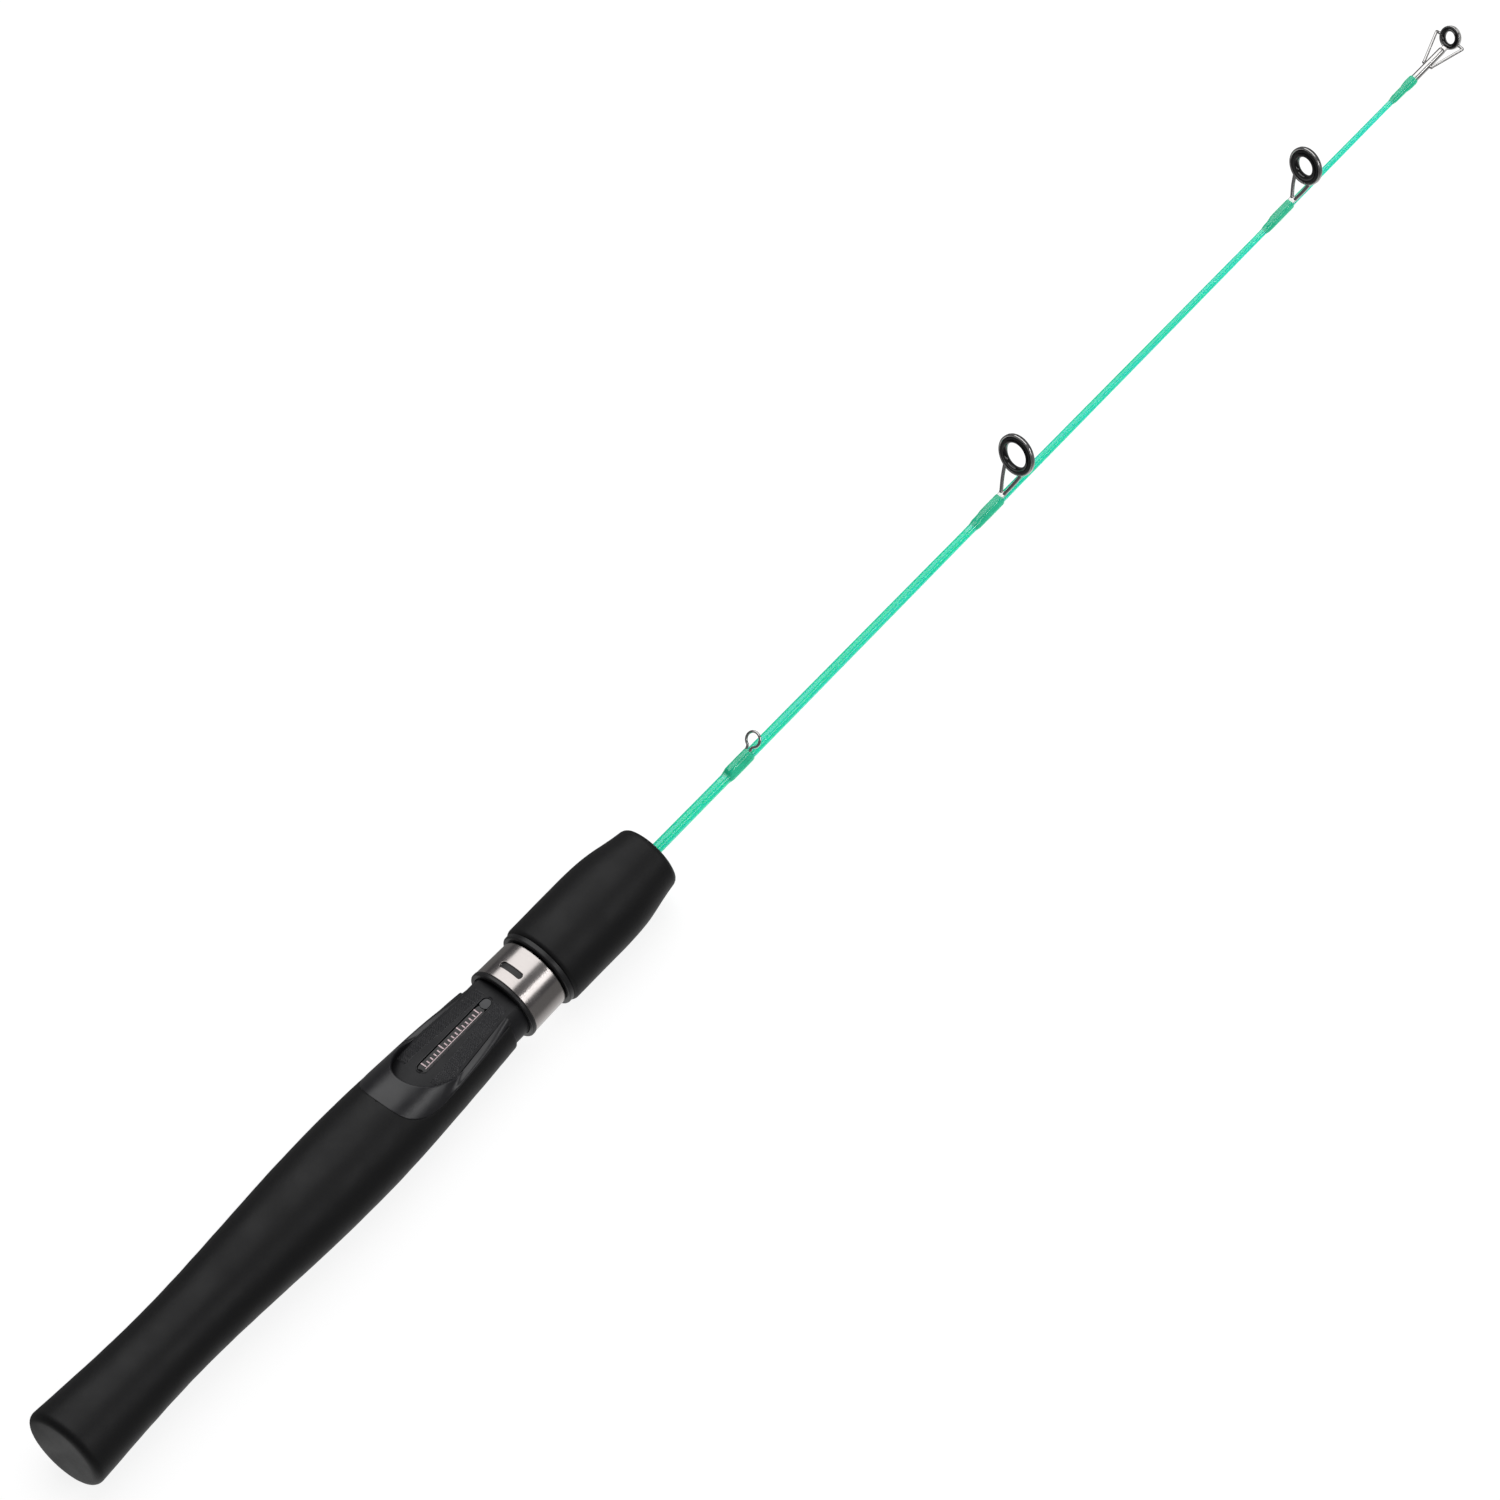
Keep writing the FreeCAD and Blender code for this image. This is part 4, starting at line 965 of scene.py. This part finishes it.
def coat_part(start, end, corners):
    """The clear coat: a drop-like skin over the wrap that runs out thin over the bare blank."""
    turns = np.linspace(0, 2 * math.pi, 64, endpoint=False)
    tail, lip = start - COAT_TAIL, end + COAT_LIP
    middle = 0.45 * start + 0.55 * end
    skin = []
    stations = np.concatenate([np.linspace(tail, lip - 0.7, 80),
                               lip - 0.7 + 0.7 * np.sin(np.linspace(0.1, 1, 10) * math.pi / 2)])
    for x in stations:
        blank = blank_radius(x)
        body = smooth_step(x, tail - 0.5, middle)
        front = math.sqrt(max(1 - max(0.0, (x - (lip - COAT_FRONT)) / COAT_FRONT) ** 2, 0.0))
        settle = 1 - 0.3 * smooth_step(x, end - 3, end + 0.6)
        grow = COAT_THIN + (COAT_GROW - COAT_THIN) * body * settle * front
        radius = hull_radius(turns, blank, corners(min(x, end))) + grow
        if x > end:
            radius = blank + 0.04 + (radius - blank - 0.04) * front
        skin.append(radius)
    skin = np.array(skin)
    for _ in range(10):
        skin = (np.roll(skin, 1, 1) + 2 * skin + np.roll(skin, -1, 1)) / 4
    rows = [skin_ring(tail, blank_radius(tail) * 0.8, turns)]
    rows += [skin_ring(x, radius, turns) for x, radius in zip(stations, skin)]
    rows.append(skin_ring(lip, blank_radius(lip) * 0.8, turns))
    return grid(np.array(rows), wrap_cols=True, cap_rows=True)


WRAPS = {"keeper": (KEEPER_START, KEEPER_END, keeper_corners),
         "tip": (TIP_WRAP_START, TIP_WRAP_END, tube_corners)}
for name, (foot_end, *_) in GUIDES.items():
    WRAPS[name] = (foot_end - 13.8, foot_end - 2.1, foot_corners(foot_end - FOOT_LENGTH))
for name, (start, end, corners) in WRAPS.items():
    piece(name + "_thread", wrap_part(start, end, corners), "rod", THREAD,
          [name + "_wrap"], 60)
    piece(name + "_epoxy", coat_part(start, end, corners), "rod", COAT,
          [name + "_clear_coat"], 60)

# ------------------------ CAD nodes that keep their shape
KEPT = {
    "hood_liner": (HOOD_PLASTIC, 0.0), "lock_nut": (HOOD_PLASTIC, 0.0),
    "core_tube": (CORE, 0.3), "rear_arbor": (CORE, 0.3), "front_arbor": (CORE, 0.3),
    "tip_tube": (STEEL, 0.05),
}
for name, (material, edge) in KEPT.items():
    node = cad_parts[name]
    for slot in node.material_slots:
        slot.link = "OBJECT"
        slot.material = material
    if edge:
        weld = node.modifiers.new("weld", "WELD")
        weld.merge_threshold = 1e-6
        bevel = node.modifiers.new("edges", "BEVEL")
        bevel.width, bevel.segments, bevel.limit_method = edge * MM, 3, "ANGLE"
        bevel.angle_limit = math.radians(40)

# ------------------------ camera, floor and lights
LEAN, ROLL, SIDE = math.radians(18.54), math.radians(45.47), math.radians(28.0)
VIEW_WIDTH = 0.4261
VIEW_CENTRE = (0.1954, 0.1997)
DISTANCE = 18.0
FLOOR_REACH, FLOOR_GAP, LIGHT_DISTANCE, LIGHT_LENGTH = 30.0, 0.0002, 1.8, 1.8
NEAR_FLOOR, FAR_FLOOR, NEAR_GLOSS, FAR_GLOSS = 0.012, 0.032, 0.75, 0.17


def placed(x_axis, y_axis, z_axis, origin):
    """A placement from its three axes and its origin."""
    return Matrix.Translation(origin) @ Matrix((x_axis, y_axis, z_axis)).transposed().to_4x4()


back = Vector((-math.sin(LEAN), -math.cos(LEAN) * math.sin(SIDE), math.cos(LEAN) * math.cos(SIDE)))
along = (Vector((1, 0, 0)) - back * back.x).normalized()
beside = along.cross(back)
right = along * math.cos(ROLL) + beside * math.sin(ROLL)
up = along * math.sin(ROLL) - beside * math.cos(ROLL)
target = right * VIEW_CENTRE[0] + up * VIEW_CENTRE[1]

camera_data = bpy.data.cameras.new("camera")
camera_data.sensor_width = 36.0
camera_data.lens = camera_data.sensor_width * DISTANCE / VIEW_WIDTH
camera_data.clip_start, camera_data.clip_end = 1.0, 60.0
camera = bpy.data.objects.new("camera", camera_data)
camera.matrix_world = placed(right, up, back, target + back * DISTANCE)
bpy.context.scene.collection.objects.link(camera)
bpy.context.scene.camera = camera


def floor():
    """A wide pale floor just under the rod, which gloss and metal mirror as if it were dimmer."""
    look = Look("pale_floor", Roughness=0.9, Specular_IOR_Level=0.1, Emission_Strength=0.86)
    look.shader.inputs["Base Color"].default_value = (0.3, 0.3, 0.3, 1)
    look.shader.inputs["Emission Color"].default_value = (1, 1, 1, 1)
    dim = look.node("ShaderNodeEmission")
    coords = look.node("ShaderNodeTexCoord")
    split = look.node("ShaderNodeSeparateXYZ")
    aside = look.node("ShaderNodeMath", operation="ABSOLUTE")
    fall = look.node("ShaderNodeMapRange", From_Min=NEAR_FLOOR, From_Max=FAR_FLOOR,
                     To_Min=NEAR_GLOSS, To_Max=FAR_GLOSS)
    look.link(coords.outputs["Object"], split.inputs["Vector"])
    look.link(split.outputs["Y"], aside.inputs[0])
    look.link(aside.outputs["Value"], fall.inputs["Value"])
    look.link(fall.outputs["Result"], dim.inputs["Strength"])
    path = look.node("ShaderNodeLightPath")
    mix = look.node("ShaderNodeMixShader")
    look.link(path.outputs["Is Glossy Ray"], mix.inputs["Fac"])
    look.link(look.shader.outputs["BSDF"], mix.inputs[1])
    look.link(dim.outputs["Emission"], mix.inputs[2])
    look.link(mix.outputs["Shader"], look.tree.nodes["Material Output"].inputs["Surface"])
    mesh = bpy.data.meshes.new("floor")
    level = cad_box[0].z - FLOOR_GAP
    corners = [(x, y, level) for x, y in oblong(-FLOOR_REACH, -FLOOR_REACH, FLOOR_REACH, FLOOR_REACH)]
    mesh.from_pydata(corners, [], [(0, 1, 2, 3)])
    mesh.materials.append(look.material)
    made = bpy.data.objects.new("floor", mesh)
    bpy.context.scene.collection.objects.link(made)


def area_light(name, turn, width, length, radiance):
    """A softbox that a surface along the rod mirrors to the camera. turn is in degrees about the rod
    from straight up, towards the reel's right; width is across the rod and length along it."""
    middle = Vector((0.3, 0, 0))
    angle = math.radians(turn)
    ahead, across = math.sin(LEAN), math.cos(LEAN)
    away = Vector((ahead, -across * math.sin(angle), across * math.cos(angle)))
    data = bpy.data.lights.new(name, "AREA")
    data.shape, data.size, data.size_y = "RECTANGLE", length, width
    data.energy = radiance * math.pi * width * length
    made = bpy.data.objects.new(name, data)
    side = Vector((1, 0, 0))
    side = (side - away * side.dot(away)).normalized()
    up_side = away.cross(side)
    place = middle + away * LIGHT_DISTANCE
    made.matrix_world = placed(side, up_side, away, place)
    bpy.context.scene.collection.objects.link(made)


floor()
area_light("left_softbox", -20, 2.5, LIGHT_LENGTH, 1.5)
area_light("right_strip", 59, 0.5, LIGHT_LENGTH, 2.0)
area_light("thin_tube", 50, 0.03, LIGHT_LENGTH, 8.0)


def studio_world():
    """A dim sky for light and reflections, behind which the studio's paper is pale."""
    world = bpy.data.worlds.new("studio")
    world.use_nodes = True
    tree = world.node_tree
    coords = tree.nodes.new("ShaderNodeTexCoord")
    split = tree.nodes.new("ShaderNodeSeparateXYZ")
    ramp = tree.nodes.new("ShaderNodeValToRGB")
    tree.links.new(coords.outputs["Generated"], split.inputs["Vector"])
    tree.links.new(split.outputs["Z"], ramp.inputs["Fac"])
    tree.links.new(ramp.outputs["Color"], tree.nodes["Background"].inputs["Color"])
    ramp.color_ramp.elements[0].position, ramp.color_ramp.elements[1].position = 0.05, 0.6
    ramp.color_ramp.elements[0].color = (0.06, 0.06, 0.065, 1)
    ramp.color_ramp.elements[1].color = (0.16, 0.16, 0.165, 1)
    paper = tree.nodes.new("ShaderNodeBackground")
    paper.inputs["Color"].default_value = (0.97, 0.97, 0.97, 1)
    path = tree.nodes.new("ShaderNodeLightPath")
    mix = tree.nodes.new("ShaderNodeMixShader")
    tree.links.new(path.outputs["Is Camera Ray"], mix.inputs["Fac"])
    tree.links.new(tree.nodes["Background"].outputs["Background"], mix.inputs[1])
    tree.links.new(paper.outputs["Background"], mix.inputs[2])
    tree.links.new(mix.outputs["Shader"], tree.nodes["World Output"].inputs["Surface"])
    return world


bpy.context.scene.world = studio_world()
bpy.context.scene.view_settings.view_transform = "Standard"
